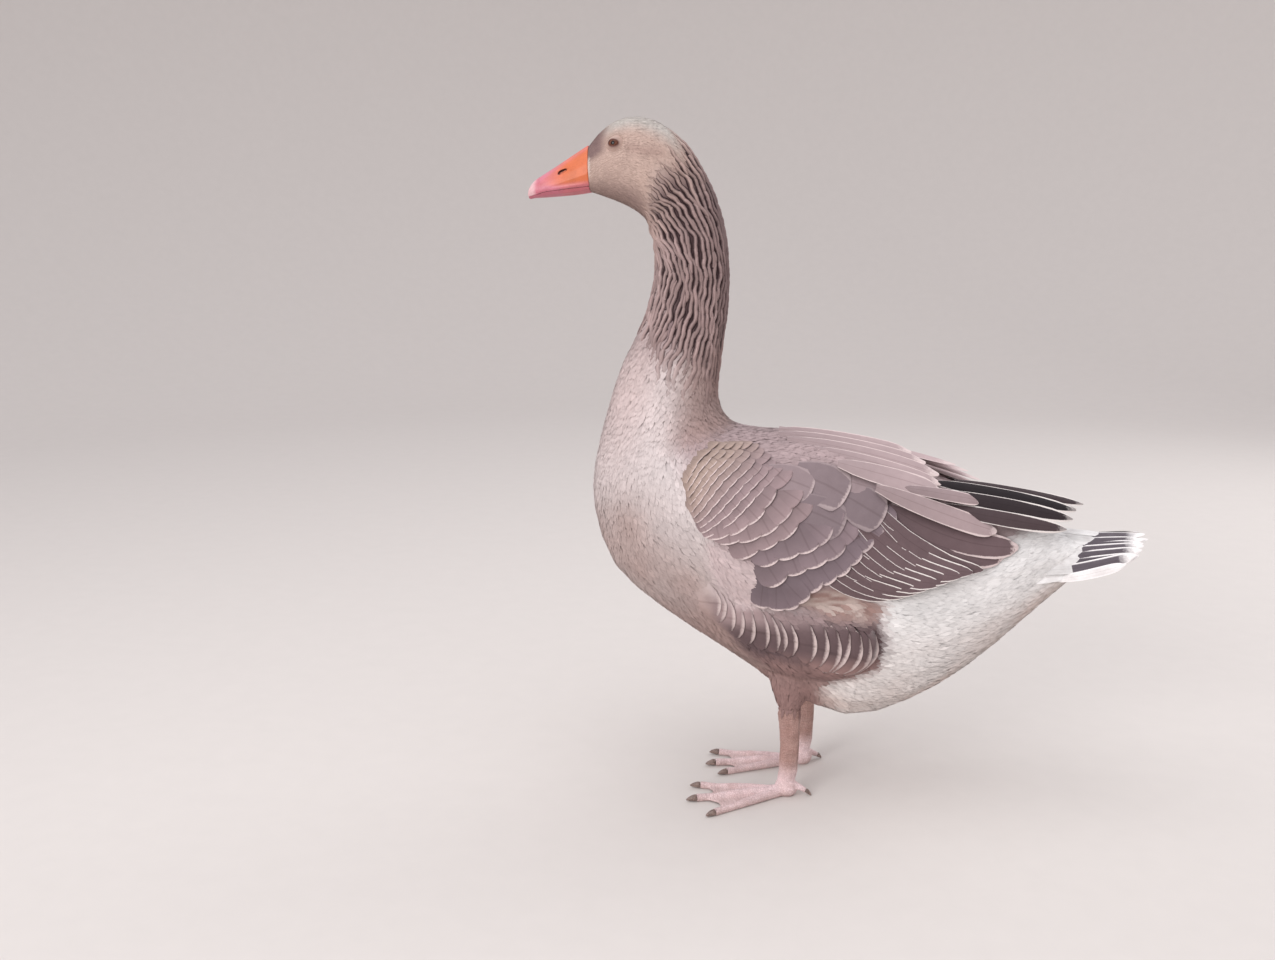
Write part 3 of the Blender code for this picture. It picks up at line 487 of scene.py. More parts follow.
class Plumage:
    """Vanes gathered into one joined mesh."""

    def __init__(self):
        self.points, self.quads, self.up = [], [], []
        self.vane, self.bake, self.tint, self.margin = [], [], [], []
        self.count = 0

    def add(
        self, vane, spine, normals, width, lift, tint, margin=0.0, camber=0.0, tilt=0.0, hug=None,
        shade=None, ridge=2.0, bow=None, fading=0.0,
    ):
        """spine and normals are (feathers, rows, 3), from quill to tip. lift is the height at each row.
        camber lowers the sides, more sharply with a low ridge number, and tilt raises one side over its
        neighbour. hug is a surface that the whole vane lies on. tint may depend on the place, and shade is
        its strength at each row. bow is how far the corners of the end lie behind its middle, and fading is
        how much of the pale margin is lost towards those corners."""
        feathers, rows = spine.shape[:2]
        across = np.linspace(-1.0, 1.0, vane.columns)
        along = np.asarray(vane.rows)
        width = np.broadcast_to(np.asarray(width, float).reshape(-1, 1), (feathers, rows))
        forward = np.gradient(spine, axis=1)
        length = np.linalg.norm(np.diff(spine, axis=1), axis=2).sum(1)
        forward = unit(forward - normals * dot(forward, normals))
        sideways = np.cross(normals, forward)
        half = width * np.asarray(vane.outline)[None] / 2
        bow = vane.round_tip * length if bow is None else np.asarray(bow, float)
        back = along[None, :, None] ** 2 * bow.reshape(-1, 1, 1)
        back = back * (1.0 - np.sqrt(1.0 - 0.98 * across[None, None] ** 2))
        grid = spine[:, :, None] + sideways[:, :, None] * (half[..., None] * across)[..., None]
        grid = grid - forward[:, :, None] * back[..., None]
        up = np.broadcast_to(normals[:, :, None], grid.shape)
        if hug is not None:
            grid, up = hug.nearest(grid)
        lift = np.broadcast_to(np.asarray(lift, float), (feathers, rows))
        drop = np.broadcast_to(np.asarray(camber, float).reshape(-1, 1, 1), (feathers, 1, 1))
        drop = drop * np.abs(across) ** ridge
        lean = np.broadcast_to(np.asarray(tilt, float).reshape(-1, 1, 1), (feathers, 1, 1)) * across
        height = lift[..., None] - drop + lean * along[None, :, None]
        grid = grid + up * height[..., None]
        if callable(tint):
            tint = tint(grid.reshape(-1, 3)).reshape(*grid.shape)
        else:
            tint = np.clip(np.asarray(tint, float), 0, 1).reshape(-1, 1, 1, 3)
        self.up.append(up.reshape(-1, 3))
        margin = np.asarray(margin, float).reshape(-1, 1, 1) * (1.0 - fading * np.abs(across) ** 3)
        self._keep(vane, grid, spine[:, 0], tint, margin, shade)

    def _keep(self, vane, grid, roots, tint, margin, shade):
        feathers, rows, columns = grid.shape[:3]
        start = self.count + np.arange(feathers)[:, None] * rows * columns
        row, column = np.meshgrid(np.arange(rows - 1), np.arange(columns - 1), indexing="ij")
        corner = (row * columns + column).ravel()
        quad = np.stack([corner, corner + columns, corner + columns + 1, corner + 1], 1)
        self.quads.append((start[..., None] + quad[None]).reshape(-1, 4))
        self.points.append(grid.reshape(-1, 3))
        across, along = np.meshgrid(np.linspace(0, 1, columns), vane.rows)
        place = np.stack([across, along], -1)[None]
        self.vane.append(np.broadcast_to(place, (feathers, rows, columns, 2)).reshape(-1, 2))
        root = bake_place(roots)[:, None, None]
        self.bake.append((root + (place - 0.5) * BAKE_PATCH).reshape(-1, 2))
        tint = np.broadcast_to(tint, (feathers, rows, columns, 3))
        if shade is not None:
            tint = tint * np.asarray(shade, float)[None, :, None, None]
        self.tint.append(tint.reshape(-1, 3))
        self.margin.append(np.broadcast_to(margin, (feathers, rows, columns)).reshape(-1))
        self.count += feathers * rows * columns

    def mirrored(self):
        """The same feathers on the other side of the body."""
        other = Plumage()
        other.points = [p * [1, -1, 1] for p in self.points]
        other.quads = [q[:, ::-1] for q in self.quads]
        other.up = [u * [1, -1, 1] for u in self.up]
        other.vane, other.tint, other.margin = self.vane, self.tint, self.margin
        other.bake = [b * [1, -1] + [0, 1] for b in self.bake]
        other.count = self.count
        return other

    def make(self, name, material, replaces=(), slot=None, softness=0.0):
        """softness blends the light on single feathers into the light on the body's form."""
        points, quads = np.vstack(self.points), np.vstack(self.quads)
        mesh = bpy.data.meshes.new(name)
        mesh.vertices.add(len(points))
        mesh.vertices.foreach_set("co", points.astype(np.float32).ravel())
        mesh.loops.add(quads.size)
        mesh.loops.foreach_set("vertex_index", quads.astype(np.int32).ravel())
        mesh.polygons.add(len(quads))
        mesh.polygons.foreach_set("loop_start", np.arange(0, quads.size, 4, dtype=np.int32))
        smooth_shaded(mesh)
        mesh.update(calc_edges=True)
        corners = quads.ravel()
        for layer, values in (("OFBake", self.bake), ("Vane", self.vane)):
            uv = mesh.uv_layers.new(name=layer)
            uv.data.foreach_set("uv", np.vstack(values)[corners].astype(np.float32).ravel())
        set_tint(mesh, np.vstack(self.tint))
        margin = mesh.attributes.new("margin", "FLOAT", "POINT")
        margin.data.foreach_set("value", np.concatenate(self.margin).astype(np.float32))
        if softness:
            _, own = vertex_arrays(mesh)
            mesh.normals_split_custom_set_from_vertices(unit(mix(own, np.vstack(self.up), softness)).tolist())
        mesh.materials.append(material)
        obj = bpy.data.objects.new(name, mesh)
        return settle(obj, replaces)


def smooth_shaded(mesh):
    mesh.polygons.foreach_set("use_smooth", np.ones(len(mesh.polygons), bool))


def set_tint(mesh, colours):
    """Keeps a colour for each point, which every finish reads."""
    colours = np.hstack([colours, np.ones((len(colours), 1))])
    tint = mesh.color_attributes.new("tint", "FLOAT_COLOR", "POINT")
    tint.data.foreach_set("color", colours.astype(np.float32).ravel())


def settle(obj, replaces=()):
    """Puts a finished piece in the scene, on the goose's body, in place of the solids it stands for."""
    if obj.name not in bpy.context.scene.collection.all_objects:
        bpy.context.scene.collection.objects.link(obj)
    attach(obj, "root")
    if replaces:
        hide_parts(*replaces)
    return obj


def comb(surface, roots, heading, length, rows, from_tip=False):
    """Walks each quill over the surface from its root, or back from its tip: (points, normals) by row."""
    steps = np.diff(np.asarray(rows))
    steps = steps[::-1] if from_tip else steps
    length = np.broadcast_to(np.asarray(length, float).reshape(-1, 1), (len(roots), 1))
    point, normal = surface.nearest(roots)
    way = -heading if from_tip else heading
    way = unit(way - normal * dot(way, normal))
    points, normals = [point], [normal]
    for step in steps:
        point, normal = surface.nearest(point + way * length * step)
        way = unit(way - normal * dot(way, normal))
        points.append(point)
        normals.append(normal)
    spine, normals = np.stack(points, 1), np.stack(normals, 1)
    return (spine[:, ::-1], normals[:, ::-1]) if from_tip else (spine, normals)


def turned(heading, normals, angle):
    """heading turned about the surface's normal."""
    angle = np.asarray(angle, float).reshape(-1, 1)
    heading = unit(heading - normals * dot(heading, normals))
    return heading * np.cos(angle) + np.cross(normals, heading) * np.sin(angle)


def sown(plumage, surface, vane, seed, spacing, wanted, length, width, lift, colours, **more):
    """Overlapping feathers all over a part of the body. length, width and lift may depend on the place, and
    stray in more is how unevenly they point."""
    roots = surface.scatter(spacing, wanted, seed)
    draw = np.random.default_rng(seed + 1)
    value = lambda given: given(roots) if callable(given) else np.full(len(roots), float(given))
    _, normals = surface.nearest(roots)
    stray = more.pop("stray")
    heading = turned(lie_of_coat(roots), normals, draw.normal(0.0, stray, len(roots)))
    vary = varied(0.15, draw, len(roots))
    spine, normals = comb(surface, roots, heading, value(length) * vary, vane.rows)
    along = np.asarray(vane.rows)[None]
    heights = DOWN_LIFT + value(lift)[:, None] * (0.75 + 0.5 * draw.random((len(roots), 1))) * along**0.8
    tint = uneven(markings(roots, colours), 0.05, draw, len(roots))
    plumage.add(vane, spine, normals, value(width) * vary, heights, tint, **more)


# Finishes


def new_finish(name):
    material = bpy.data.materials.new(name)
    material.use_nodes = True
    return material, material.node_tree, material.node_tree.nodes["Principled BSDF"]


def node(tree, kind, inputs=(), **settings):
    made = tree.nodes.new(kind)
    for key, value in settings.items():
        setattr(made, key, value)
    for socket, value in dict(inputs).items():
        if isinstance(value, bpy.types.NodeSocket):
            tree.links.new(value, made.inputs[socket])
        else:
            made.inputs[socket].default_value = value
    return made


def sum_of(tree, operation, first, second=0.0, third=0.0, clamp=False):
    inputs = {0: first, 1: second, 2: third}
    return node(tree, "ShaderNodeMath", inputs, operation=operation, use_clamp=clamp).outputs[0]


def vector_sum(tree, operation, *vectors, output="Vector"):
    inputs = dict(enumerate(vectors))
    return node(tree, "ShaderNodeVectorMath", inputs, operation=operation).outputs[output]


def blend_colours(tree, share, first, second, blend_type="MIX"):
    first, second = (c if isinstance(c, bpy.types.NodeSocket) else (*c, 1.0) for c in (first, second))
    inputs = {0: share, 6: first, 7: second}
    return node(tree, "ShaderNodeMix", inputs, data_type="RGBA", blend_type=blend_type).outputs[2]


def darken(tree, share, colour, by):
    return blend_colours(tree, share, colour, by, "MULTIPLY")


def stretch(tree, value, low, high, to_low=0.0, to_high=1.0):
    made = node(tree, "ShaderNodeMapRange", {0: value, 1: low, 2: high, 3: to_low, 4: to_high})
    return made.outputs[0]


def object_place(tree):
    return node(tree, "ShaderNodeTexCoord").outputs["Object"]


def attribute(tree, name, output="Color"):
    return node(tree, "ShaderNodeAttribute", attribute_name=name).outputs[output]


def noise(tree, scale, detail=4.0, roughness=0.55, vector=None):
    inputs = {"Scale": scale, "Detail": detail, "Roughness": roughness}
    inputs["Vector"] = object_place(tree) if vector is None else vector
    return node(tree, "ShaderNodeTexNoise", inputs).outputs["Fac"]


def coloured(tree, shader, colour, roughness, specular=None):
    tree.links.new(colour, shader.inputs["Base Color"])
    shader.inputs["Roughness"].default_value = roughness
    if specular is not None:
        shader.inputs["Specular IOR Level"].default_value = specular


def bumped(tree, shader, heights, distance, strength=1.0):
    made = node(tree, "ShaderNodeBump", {"Height": heights, "Distance": distance, "Strength": strength})
    tree.links.new(made.outputs[0], shader.inputs["Normal"])


def vane_place(tree):
    """How far from the quill, 0 to 1, and how far along the vane."""
    place = node(tree, "ShaderNodeUVMap", uv_map="Vane").outputs[0]
    split = node(tree, "ShaderNodeSeparateXYZ", {0: place})
    across = sum_of(tree, "ABSOLUTE", sum_of(tree, "MULTIPLY_ADD", split.outputs[0], 2.0, -1.0))
    return across, split.outputs[1]


def vane_finish(
    name, margin_colour, margin_width, barbs, roughness=0.72, mottle=0.35, sides=1.0, ends=1.0, taper=0.0
):
    """Feather vanes: the colour of their tint, with the painted shade and light that some tints hold, a paler
    worn margin down the sides and round the end, each by the share given, a quill line, and fine barbs
    running out from it. taper widens the side margins to the tip."""
    material, tree, shader = new_finish(name)
    across, along = vane_place(tree)
    tint = attribute(tree, "tint")
    margin = attribute(tree, "margin", "Fac")
    ragged = sum_of(tree, "MULTIPLY_ADD", noise(tree, 420.0), 0.10, -0.05)
    clouds = stretch(tree, noise(tree, 95.0, 5.0, 0.6), 0.35, 0.65, 0.0, mottle)
    base = darken(tree, clouds, tint, (0.55, 0.50, 0.50))
    widened = stretch(tree, along, 0.55, 1.0, 0.0, taper)
    side = sum_of(tree, "ADD", sum_of(tree, "ADD", across, ragged), widened)
    side = stretch(tree, side, 1.0 - margin_width, 1.0 - margin_width * 0.4)
    side = sum_of(tree, "MULTIPLY", side, sides, clamp=True)
    tip = sum_of(tree, "ADD", along, ragged)
    tip = stretch(tree, tip, 1.0 - margin_width * 0.62, 1.0 - margin_width * 0.25)
    tip = sum_of(tree, "MULTIPLY", tip, ends, clamp=True)
    share = sum_of(tree, "MULTIPLY", sum_of(tree, "MAXIMUM", side, tip, clamp=True), margin, clamp=True)
    colour = blend_colours(tree, share, base, margin_colour)
    quill = sum_of(tree, "MULTIPLY", stretch(tree, across, 0.03, 0.07, 1.0, 0.0), 0.25)
    colour = darken(tree, quill, colour, (0.42, 0.36, 0.34))
    slant = sum_of(tree, "MULTIPLY_ADD", across, -0.32, along)
    barb = sum_of(tree, "SINE", sum_of(tree, "MULTIPLY", slant, 210.0))
    barb = sum_of(tree, "MULTIPLY_ADD", barb, 0.5, noise(tree, 700.0, 3.0))
    strand = sum_of(tree, "MULTIPLY", stretch(tree, barb, -0.2, 1.2, 0.0, 0.22), barbs)
    colour = darken(tree, strand, colour, (0.55, 0.52, 0.52))
    coloured(tree, shader, colour, roughness, 0.28)
    bumped(tree, shader, barb, 0.00012, 0.5 * barbs)
    return material


def furrow_finish(colours):
    """Ridged feathers: a painted highlight along the crest and painted shade down both sides, with strands
    along them.
    """
    material, tree, shader = new_finish("furrowed_feathers")
    across, along = vane_place(tree)
    tint = attribute(tree, "tint")
    depth = attribute(tree, "margin", "Fac")
    vane = node(tree, "ShaderNodeUVMap", uv_map="Vane").outputs[0]
    fibres = vector_sum(tree, "MULTIPLY", vane, (15.0, 1.2, 0.0))
    fibres = vector_sum(tree, "MULTIPLY_ADD", object_place(tree), (60.0, 60.0, 60.0), fibres)
    strands = noise(tree, 1.0, 5.0, vector=fibres)
    # Painted shade: the groove colour down both sides of each ridge, stronger where the ridge stands higher.
    side = sum_of(tree, "ADD", across, sum_of(tree, "MULTIPLY_ADD", strands, 0.5, -0.25))
    side = sum_of(tree, "MULTIPLY", stretch(tree, side, 0.26, 0.66), depth)
    slant = sum_of(tree, "MULTIPLY_ADD", across, -0.35, along)
    barb = sum_of(tree, "SINE", sum_of(tree, "MULTIPLY", slant, 120.0))
    worn = stretch(tree, sum_of(tree, "MULTIPLY_ADD", barb, 0.15, strands), 0.25, 0.75)
    worn = sum_of(tree, "MULTIPLY", worn, 0.62)
    colour = darken(tree, worn, tint, (0.62, 0.55, 0.54))
    colour = blend_colours(tree, side, colour, colours["groove"])
    coloured(tree, shader, colour, 0.8, 0.25)
    bumped(tree, shader, strands, 0.0010)
    return material


# The skin


def reworked(mesh, work):
    """Lets work change a mesh in its editable form."""
    made = bmesh.new()
    made.from_mesh(mesh)
    work(made)
    made.to_mesh(mesh)
    made.free()


def welded(node_name):
    """A copy of a solid's mesh with its corners joined."""
    made = bmesh.new()
    made.from_mesh(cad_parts[node_name].data)
    bmesh.ops.remove_doubles(made, verts=made.verts, dist=1e-5)
    bmesh.ops.recalc_face_normals(made, faces=made.faces)
    return made


def fused(name, node_names, voxel, relax, swell=0.0):
    """One closed mesh of several solids, remeshed evenly and relaxed."""
    mesh = bpy.data.meshes.new(name)
    gathered = bmesh.new()
    for node_name in node_names:
        made = welded(node_name)
        if swell:
            made.normal_update()
            for vertex in made.verts:
                vertex.co += vertex.normal * swell
        copy = bpy.data.meshes.new("copy")
        made.to_mesh(copy)
        made.free()
        gathered.from_mesh(copy)
        bpy.data.meshes.remove(copy)
    gathered.to_mesh(mesh)
    gathered.free()
    obj = bpy.data.objects.new(name, mesh)
    bpy.context.scene.collection.objects.link(obj)
    remesh = obj.modifiers.new("remesh", "REMESH")
    remesh.mode = "VOXEL"
    remesh.voxel_size = voxel
    remesh.use_smooth_shade = True
    smooth = obj.modifiers.new("relax", "SMOOTH")
    smooth.factor = 0.5
    smooth.iterations = relax
    graph = bpy.context.evaluated_depsgraph_get()
    final = bpy.data.meshes.new_from_object(obj.evaluated_get(graph))
    obj.modifiers.clear()
    obj.data = final
    bpy.data.meshes.remove(mesh)
    return obj


def coat_depth(points):
    """How far the skin lies inside the outline of the coat."""
    line, around = place_on_body(points)
    depth = mix(0.0009, 0.0022, rise(line, 3.6, 5.6))
    depth = mix(depth, 0.0034, rise(line, 8.5, 11.0))
    depth = mix(depth, 0.0050, rise(line, 16.0, 18.5) * rise(np.abs(around), 1.2, 1.6))
    depth = mix(0.0045, depth, rise(line, -0.45, -0.05))
    depth = mix(depth, 0.0014, leg_share(points))
    return mix(0.0036, depth, rise(points[:, 2], 0.098, 0.108))


def eye_sockets(points):
    """A shallow hollow round each eye, and a low brow over it."""
    move = np.zeros_like(points)
    for side in SIDES:
        low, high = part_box(f"eye_{side}")
        centre = np.array((low + high) / 2)
        away = points - centre
        reach = np.hypot(away[:, 0], away[:, 2])
        same_side = np.sign(points[:, 1]) == np.sign(centre[1])
        ring = np.exp(-(((reach - 0.0085) / 0.0035) ** 2)) * same_side
        brow = np.exp(-((away[:, 0] / 0.012) ** 2) - ((away[:, 2] - 0.0105) / 0.0045) ** 2) * same_side
        move[:, 1] += SIDES[side] * (-0.0007 * ring + 0.0008 * brow)
    return move


def down_finish():
    """The short down under the feathers, in the coat's colours, which the skin's tint darkens as painted
    shade.
    """
    material, tree, shader = new_finish("under_down")
    tint = attribute(tree, "tint")
    lumps = noise(tree, 260.0, 6.0, 0.65)
    colour = darken(tree, stretch(tree, lumps, 0.3, 0.7, 0.0, 0.25), tint, (0.5, 0.46, 0.45))
    coloured(tree, shader, colour, 0.85, 0.2)
    bumped(tree, shader, lumps, 0.0006)
    return material


TOE_PLATE = 0.0042  # from one plate of the toes to the next


def leg_finish():
    """Bare leg skin: netted scales, wide plates down the shank and toes, and pale webs."""
    material, tree, shader = new_finish("leg_skin")
    place = object_place(tree)
    tint = attribute(tree, "tint")
    warp = node(tree, "ShaderNodeTexNoise", {"Scale": 120.0, "Detail": 3.0, "Vector": place}).outputs["Color"]
    warped = vector_sum(tree, "ADD", place, vector_sum(tree, "MULTIPLY", warp, (0.004, 0.004, 0.004)))
    scales = {"Vector": warped, "Scale": 430.0}
    net = node(tree, "ShaderNodeTexVoronoi", scales, feature="DISTANCE_TO_EDGE").outputs["Distance"]
    seams = stretch(tree, net, 0.02, 0.14, 1.0, 0.0)
    worn = noise(tree, 60.0, 5.0, 0.6)
    colour = darken(tree, stretch(tree, worn, 0.35, 0.7, 0.0, 0.5), tint, (0.62, 0.50, 0.46))
    colour = darken(tree, sum_of(tree, "MULTIPLY", seams, 0.35), colour, (0.45, 0.34, 0.32))
    coloured(tree, shader, colour, 0.55, 0.35)
    grain = sum_of(tree, "MULTIPLY_ADD", worn, 0.25, stretch(tree, net, 0.0, 0.2))
    plates = sum_of(tree, "MULTIPLY", toe_plates(tree, place), 0.9)
    bumped(tree, shader, sum_of(tree, "ADD", grain, plates), 0.00035)
    return material


def toe_plates(tree, place):
    """Rings round each ankle, which cross the toes as their plates do."""
    nearest = None
    for side in SIDES:
        low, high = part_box(f"tarsus_{side}")
        ankle = ((low.x + high.x) / 2, (low.y + high.y) / 2, low.z)
        away = vector_sum(tree, "DISTANCE", place, ankle, output="Value")
        nearest = away if nearest is None else sum_of(tree, "MINIMUM", nearest, away)
    ring = sum_of(tree, "SINE", sum_of(tree, "MULTIPLY", nearest, 2 * math.pi / TOE_PLATE))
    return stretch(tree, ring, -1.0, -0.4)


def leg_colours(points, colours):
    high = rise(points[:, 2], 0.020, 0.045)
    colour = mix(colours["foot"], colours["shank"], high[:, None])
    mottle = value_noise(points, 0.006, 4)[:, None]
    dirt = (1.0 - rise(points[:, 2], 0.002, 0.010))[:, None]
    colour = mix(colour, colours["leg_dirt"], 0.35 * dirt)
    return np.clip(colour * (1.0 + 0.09 * mottle), 0, 1)


# The cells that each part is remeshed with, how often it is then relaxed, and how much it is swelled first.
SKIN_VOXEL, SKIN_RELAXING, SKIN_SWELL = 0.0024, 14, 0.0004
LEG_VOXEL, LEG_RELAXING, LEG_SWELL = 0.0010, 3, 0.0009
HORN_VOXEL, HORN_RELAXING, HORN_SWELL = 0.0006, 4, 0.0001
CLAW_VOXEL, CLAW_RELAXING = 0.0005, 2
UPPER_BILL_SWELL, NAIL_SWELL = 0.0004, 0.0006
SHANK_TUCK = 0.0016  # how far the shanks draw in where the thigh's feathers cover them


def build_skin(colours):
    shanks = ("tarsus_left", "tarsus_right")
    solids = FLESH_NODES + PLUMAGE_NODES + BILL_NODES + shanks
    body = fused("goose_skin", solids, SKIN_VOXEL, SKIN_RELAXING, SKIN_SWELL)
    points, normals = vertex_arrays(body.data)
    points = points - normals * (coat_depth(points)[:, None] + SKIN_SWELL) + eye_sockets(points)
    body.data.vertices.foreach_set("co", points.ravel())
    # Painted shade: the skin under the coat is a little darker, and in the groove colour where the neck is
    # furrowed, so the gaps between feathers read dark.
    under = mix(markings(points, colours) * 0.9, colours["groove"], 0.8 * furrowed(points)[:, None])
    set_tint(body.data, under)
    legs = fused("bare_legs", BARE_NODES, LEG_VOXEL, LEG_RELAXING, LEG_SWELL)
    leg_points, leg_normals = vertex_arrays(legs.data)
    leg_points = leg_points - leg_normals * (LEG_SWELL - 0.0001)
    leg_points = leg_points - leg_normals * SHANK_TUCK * rise(leg_points[:, 2], 0.096, 0.104)[:, None]
    leg_points[:, 2] = np.maximum(leg_points[:, 2], 0.0)
    legs.data.vertices.foreach_set("co", leg_points.ravel())
    set_tint(legs.data, leg_colours(leg_points, colours))
    body.data.materials.append(down_finish())
    body.data.materials.append(leg_finish())
    legs.data.polygons.foreach_set("material_index", np.ones(len(legs.data.polygons), np.int32))
    reworked(body.data, lambda made: made.from_mesh(legs.data))
    bpy.data.objects.remove(legs)
    settle(body, FLESH_NODES + BARE_NODES)


# The coat


def on_head(points):
    line, around = place_on_body(points)
    return (line > -0.04) & (line < furrow_start(np.abs(around)) + 0.42)


def in_wing(points):
    wing = (within(points, WING_OUTLINE, 0.004) > 0.5) & (within(points, SIDE_PATCH, 0.004) < 0.5)
    return wing & beside(points)


def build_head_coat(colours):
    plumage = Plumage()
    grow = lambda p: mix(0.0030, 0.0056, rise(place_on_body(p)[0], 1.5, 4.8))
    sown(
        plumage, body_surface(), DOWN_TUFT, 11, 0.00145, on_head, grow, lambda p: grow(p) * 0.32,
        lambda p: mix(0.0002, 0.0006, rise(place_on_body(p)[0], 1.0, 4.5)), colours, stray=0.14,
    )
    finish = vane_finish("head_feathers", colours["cream"], 0.3, 0.2, 0.85, mottle=0.06)
    plumage.make("head_plumage", finish, (), "body_pale", 0.85)


def furrow_start(turn):
    """The body line where the furrows begin: behind the cheek, higher at the nape and lower in front."""
    cheek = 0.22 * np.exp(-(((turn - 0.75) / 0.35) ** 2))
    return 3.85 + cheek - 0.35 * rise(turn, 1.0, 1.6) + 0.7 * rise(turn, 2.1, 2.9)


def furrow_end(turn):
    """The body line where they end: lowest at the nape."""
    return 10.5 - 0.9 * rise(turn, 0.4, 1.3) - 0.9 * rise(turn, 1.4, 2.2) - 0.5 * rise(turn, 2.2, 2.7)


FURROWS = 46
# Length of each feather in a furrow, from one to the next, and the height of the ridge.
FURROW_LENGTH, FURROW_PITCH, FURROW_CREST = 0.024, 0.0076, 0.0036
# How the furrows sway: size, pace down the neck, and pace round it.
FURROW_SWAYS = ((0.040, 2.3, 4.0), (0.029, 6.5, 8.0), (0.017, 15.0, 13.0))
FURROW_SLANT = 0.75  # how far a furrow on the side swings towards the nape on its way down


def furrowed(points):
    """1 where the neck is deeply furrowed, 0 elsewhere."""
    line, around = place_on_body(points)
    turn = np.abs(around)
    return rise(line - furrow_start(turn), 0.55, 1.5) * (1.0 - rise(line - furrow_end(turn), -1.8, -0.5))


def furrow_path(surface, base, draw):
    """Down one furrow: how far each point is, the points, their normals, and the room between furrows."""
    lines = np.linspace(3.0, 11.0, 400)
    phase = base + 0.06 * draw.normal()
    sway = sum(size * np.sin(lines * down + phase * around) for size, down, around in FURROW_SWAYS)
    slant = FURROW_SLANT * (1.0 - rise(lines, 3.6, 7.2)) * math.sin(min(abs(base), math.pi / 2))
    angle = base + sway + math.copysign(1.0, base) * slant
    turn = np.abs(np.where(np.abs(angle) > math.pi, 2 * math.pi - np.abs(angle), angle))
    start = furrow_start(turn) - 0.12 + 0.16 * draw.normal()
    end = furrow_end(turn) + 0.25 * draw.normal()
    kept = (lines > start) & (lines < end) & (np.abs(angle) < math.pi)
    if kept.sum() < 40:
        return None
    centre, up, width = body_axis(lines[kept])
    angle = angle[kept]
    out = up * np.cos(angle)[:, None] + np.array([0.0, -1.0, 0.0]) * (width * np.sin(angle))[:, None]
    points, normals = surface.cast(centre, unit(out))
    gone = np.concatenate([[0.0], np.cumsum(np.linalg.norm(np.diff(points, axis=0), axis=1))])
    return gone, points, normals, np.linalg.norm(out, axis=1) * 2 * math.pi / FURROWS


def along_path(gone, values, wanted):
    return np.stack([np.interp(wanted, gone, values[:, k]) for k in range(values.shape[1])], -1)


def build_furrows(colours):
    surface = body_surface()
    draw = np.random.default_rng(21)
    plumage = Plumage()
    rows = np.asarray(FURROW_VANE.rows)
    rounding = np.sin(np.pi * np.clip(rows, 0.03, 0.97)) ** 0.55
    for k in range(FURROWS):
        path = furrow_path(surface, (k + 0.5) / FURROWS * 2 * math.pi - math.pi, draw)
        if path is None:
            continue
        gone, points, normals, room = path
        starts = np.arange(draw.random() * FURROW_PITCH, gone[-1] - FURROW_LENGTH * 0.7, FURROW_PITCH)
        starts = starts + draw.normal(0.0, 0.0015, len(starts))
        stretches = np.arange(len(starts)) // 4
        shift = draw.normal(0.0, 0.0007, stretches[-1] + 1)[stretches] + draw.normal(0.0, 0.0003, len(starts))
        strength = draw.uniform(0.45, 1.15, stretches[-1] + 1)[stretches]
        vary = varied(0.15, draw, len(starts))
        wanted = starts[:, None] + rows[None] * FURROW_LENGTH * vary[:, None]
        spine = along_path(gone, points, wanted)
        up = unit(along_path(gone, normals, wanted))
        aside = np.cross(up, unit(np.gradient(spine, axis=1)))
        spine = spine + aside * shift[:, None, None]
        share = starts / gone[-1]
        depth = rise(share, -0.03, 0.08) * (1.0 - 0.92 * rise(share, 0.72, 1.0))
        crest = LOWEST_LIFT + FURROW_CREST * depth * strength
        off_nape = rise(np.abs(place_on_body(spine[:, 2])[1]), 0.15, 0.8)
        # Painted highlight: the crests get the pale crest colour, more strongly where the ridge stands
        # higher.
        crested = depth * mix(0.4, 0.8, off_nape)
        tint = mix(markings(spine[:, 2], colours), colours["furrow_crest"], crested[:, None])
        first = 0.45 * (1.0 - rise(share, 0.04, 0.26)) * off_nape
        tint = mix(tint, colours["cheek"], first[:, None])
        # Painted light and shade: taller ridges are made lighter and lower ones darker.
        tint = tint * mix(0.80, 1.06, rise(strength, 0.4, 1.2))[:, None]
        tint = uneven(tint, 0.06, draw, len(starts))
        narrowed = mix(0.55, 1.0, rise(share, 0.0, 0.12))
        width = np.interp(starts, gone, room) * (1.30 + 0.38 * strength) * narrowed
        plumage.add(
            FURROW_VANE, spine, up, width, crest[:, None] * rounding[None], tint, margin=depth,
            camber=crest * 1.1, ridge=1.3,
        )
    plumage.make("neck_furrows", furrow_finish(colours), (), "neck_ruffled")


def build_neck_coat(colours):
    build_furrows(colours)

    def smooth_neck(points):
        line, around = place_on_body(points)
        turn = np.abs(around)
        in_furrows = (line > furrow_start(turn) + 0.12) & (line < furrow_end(turn) - 1.2)
        return ~on_head(points) & (line > 1.0) & (line < 11.2) & ~in_furrows & ~in_wing(points)

    smooth = Plumage()
    grow = lambda p: mix(0.0055, 0.0100, rise(place_on_body(p)[0], 5.0, 10.5))
    sown(
        smooth, body_surface(), SOFT_VANE, 23, 0.0027, smooth_neck, grow, lambda p: grow(p) * 0.42,
        lambda p: mix(0.0008, 0.0012, rise(place_on_body(p)[0], 6.0, 11.0)), colours, stray=0.10, margin=0.05,
    )
    finish = vane_finish("neck_feathers", colours["cream"], 0.2, 0.35, 0.8, mottle=0.06)
    smooth.make("neck_plumage", finish, (), "neck_ruffled", 0.8)


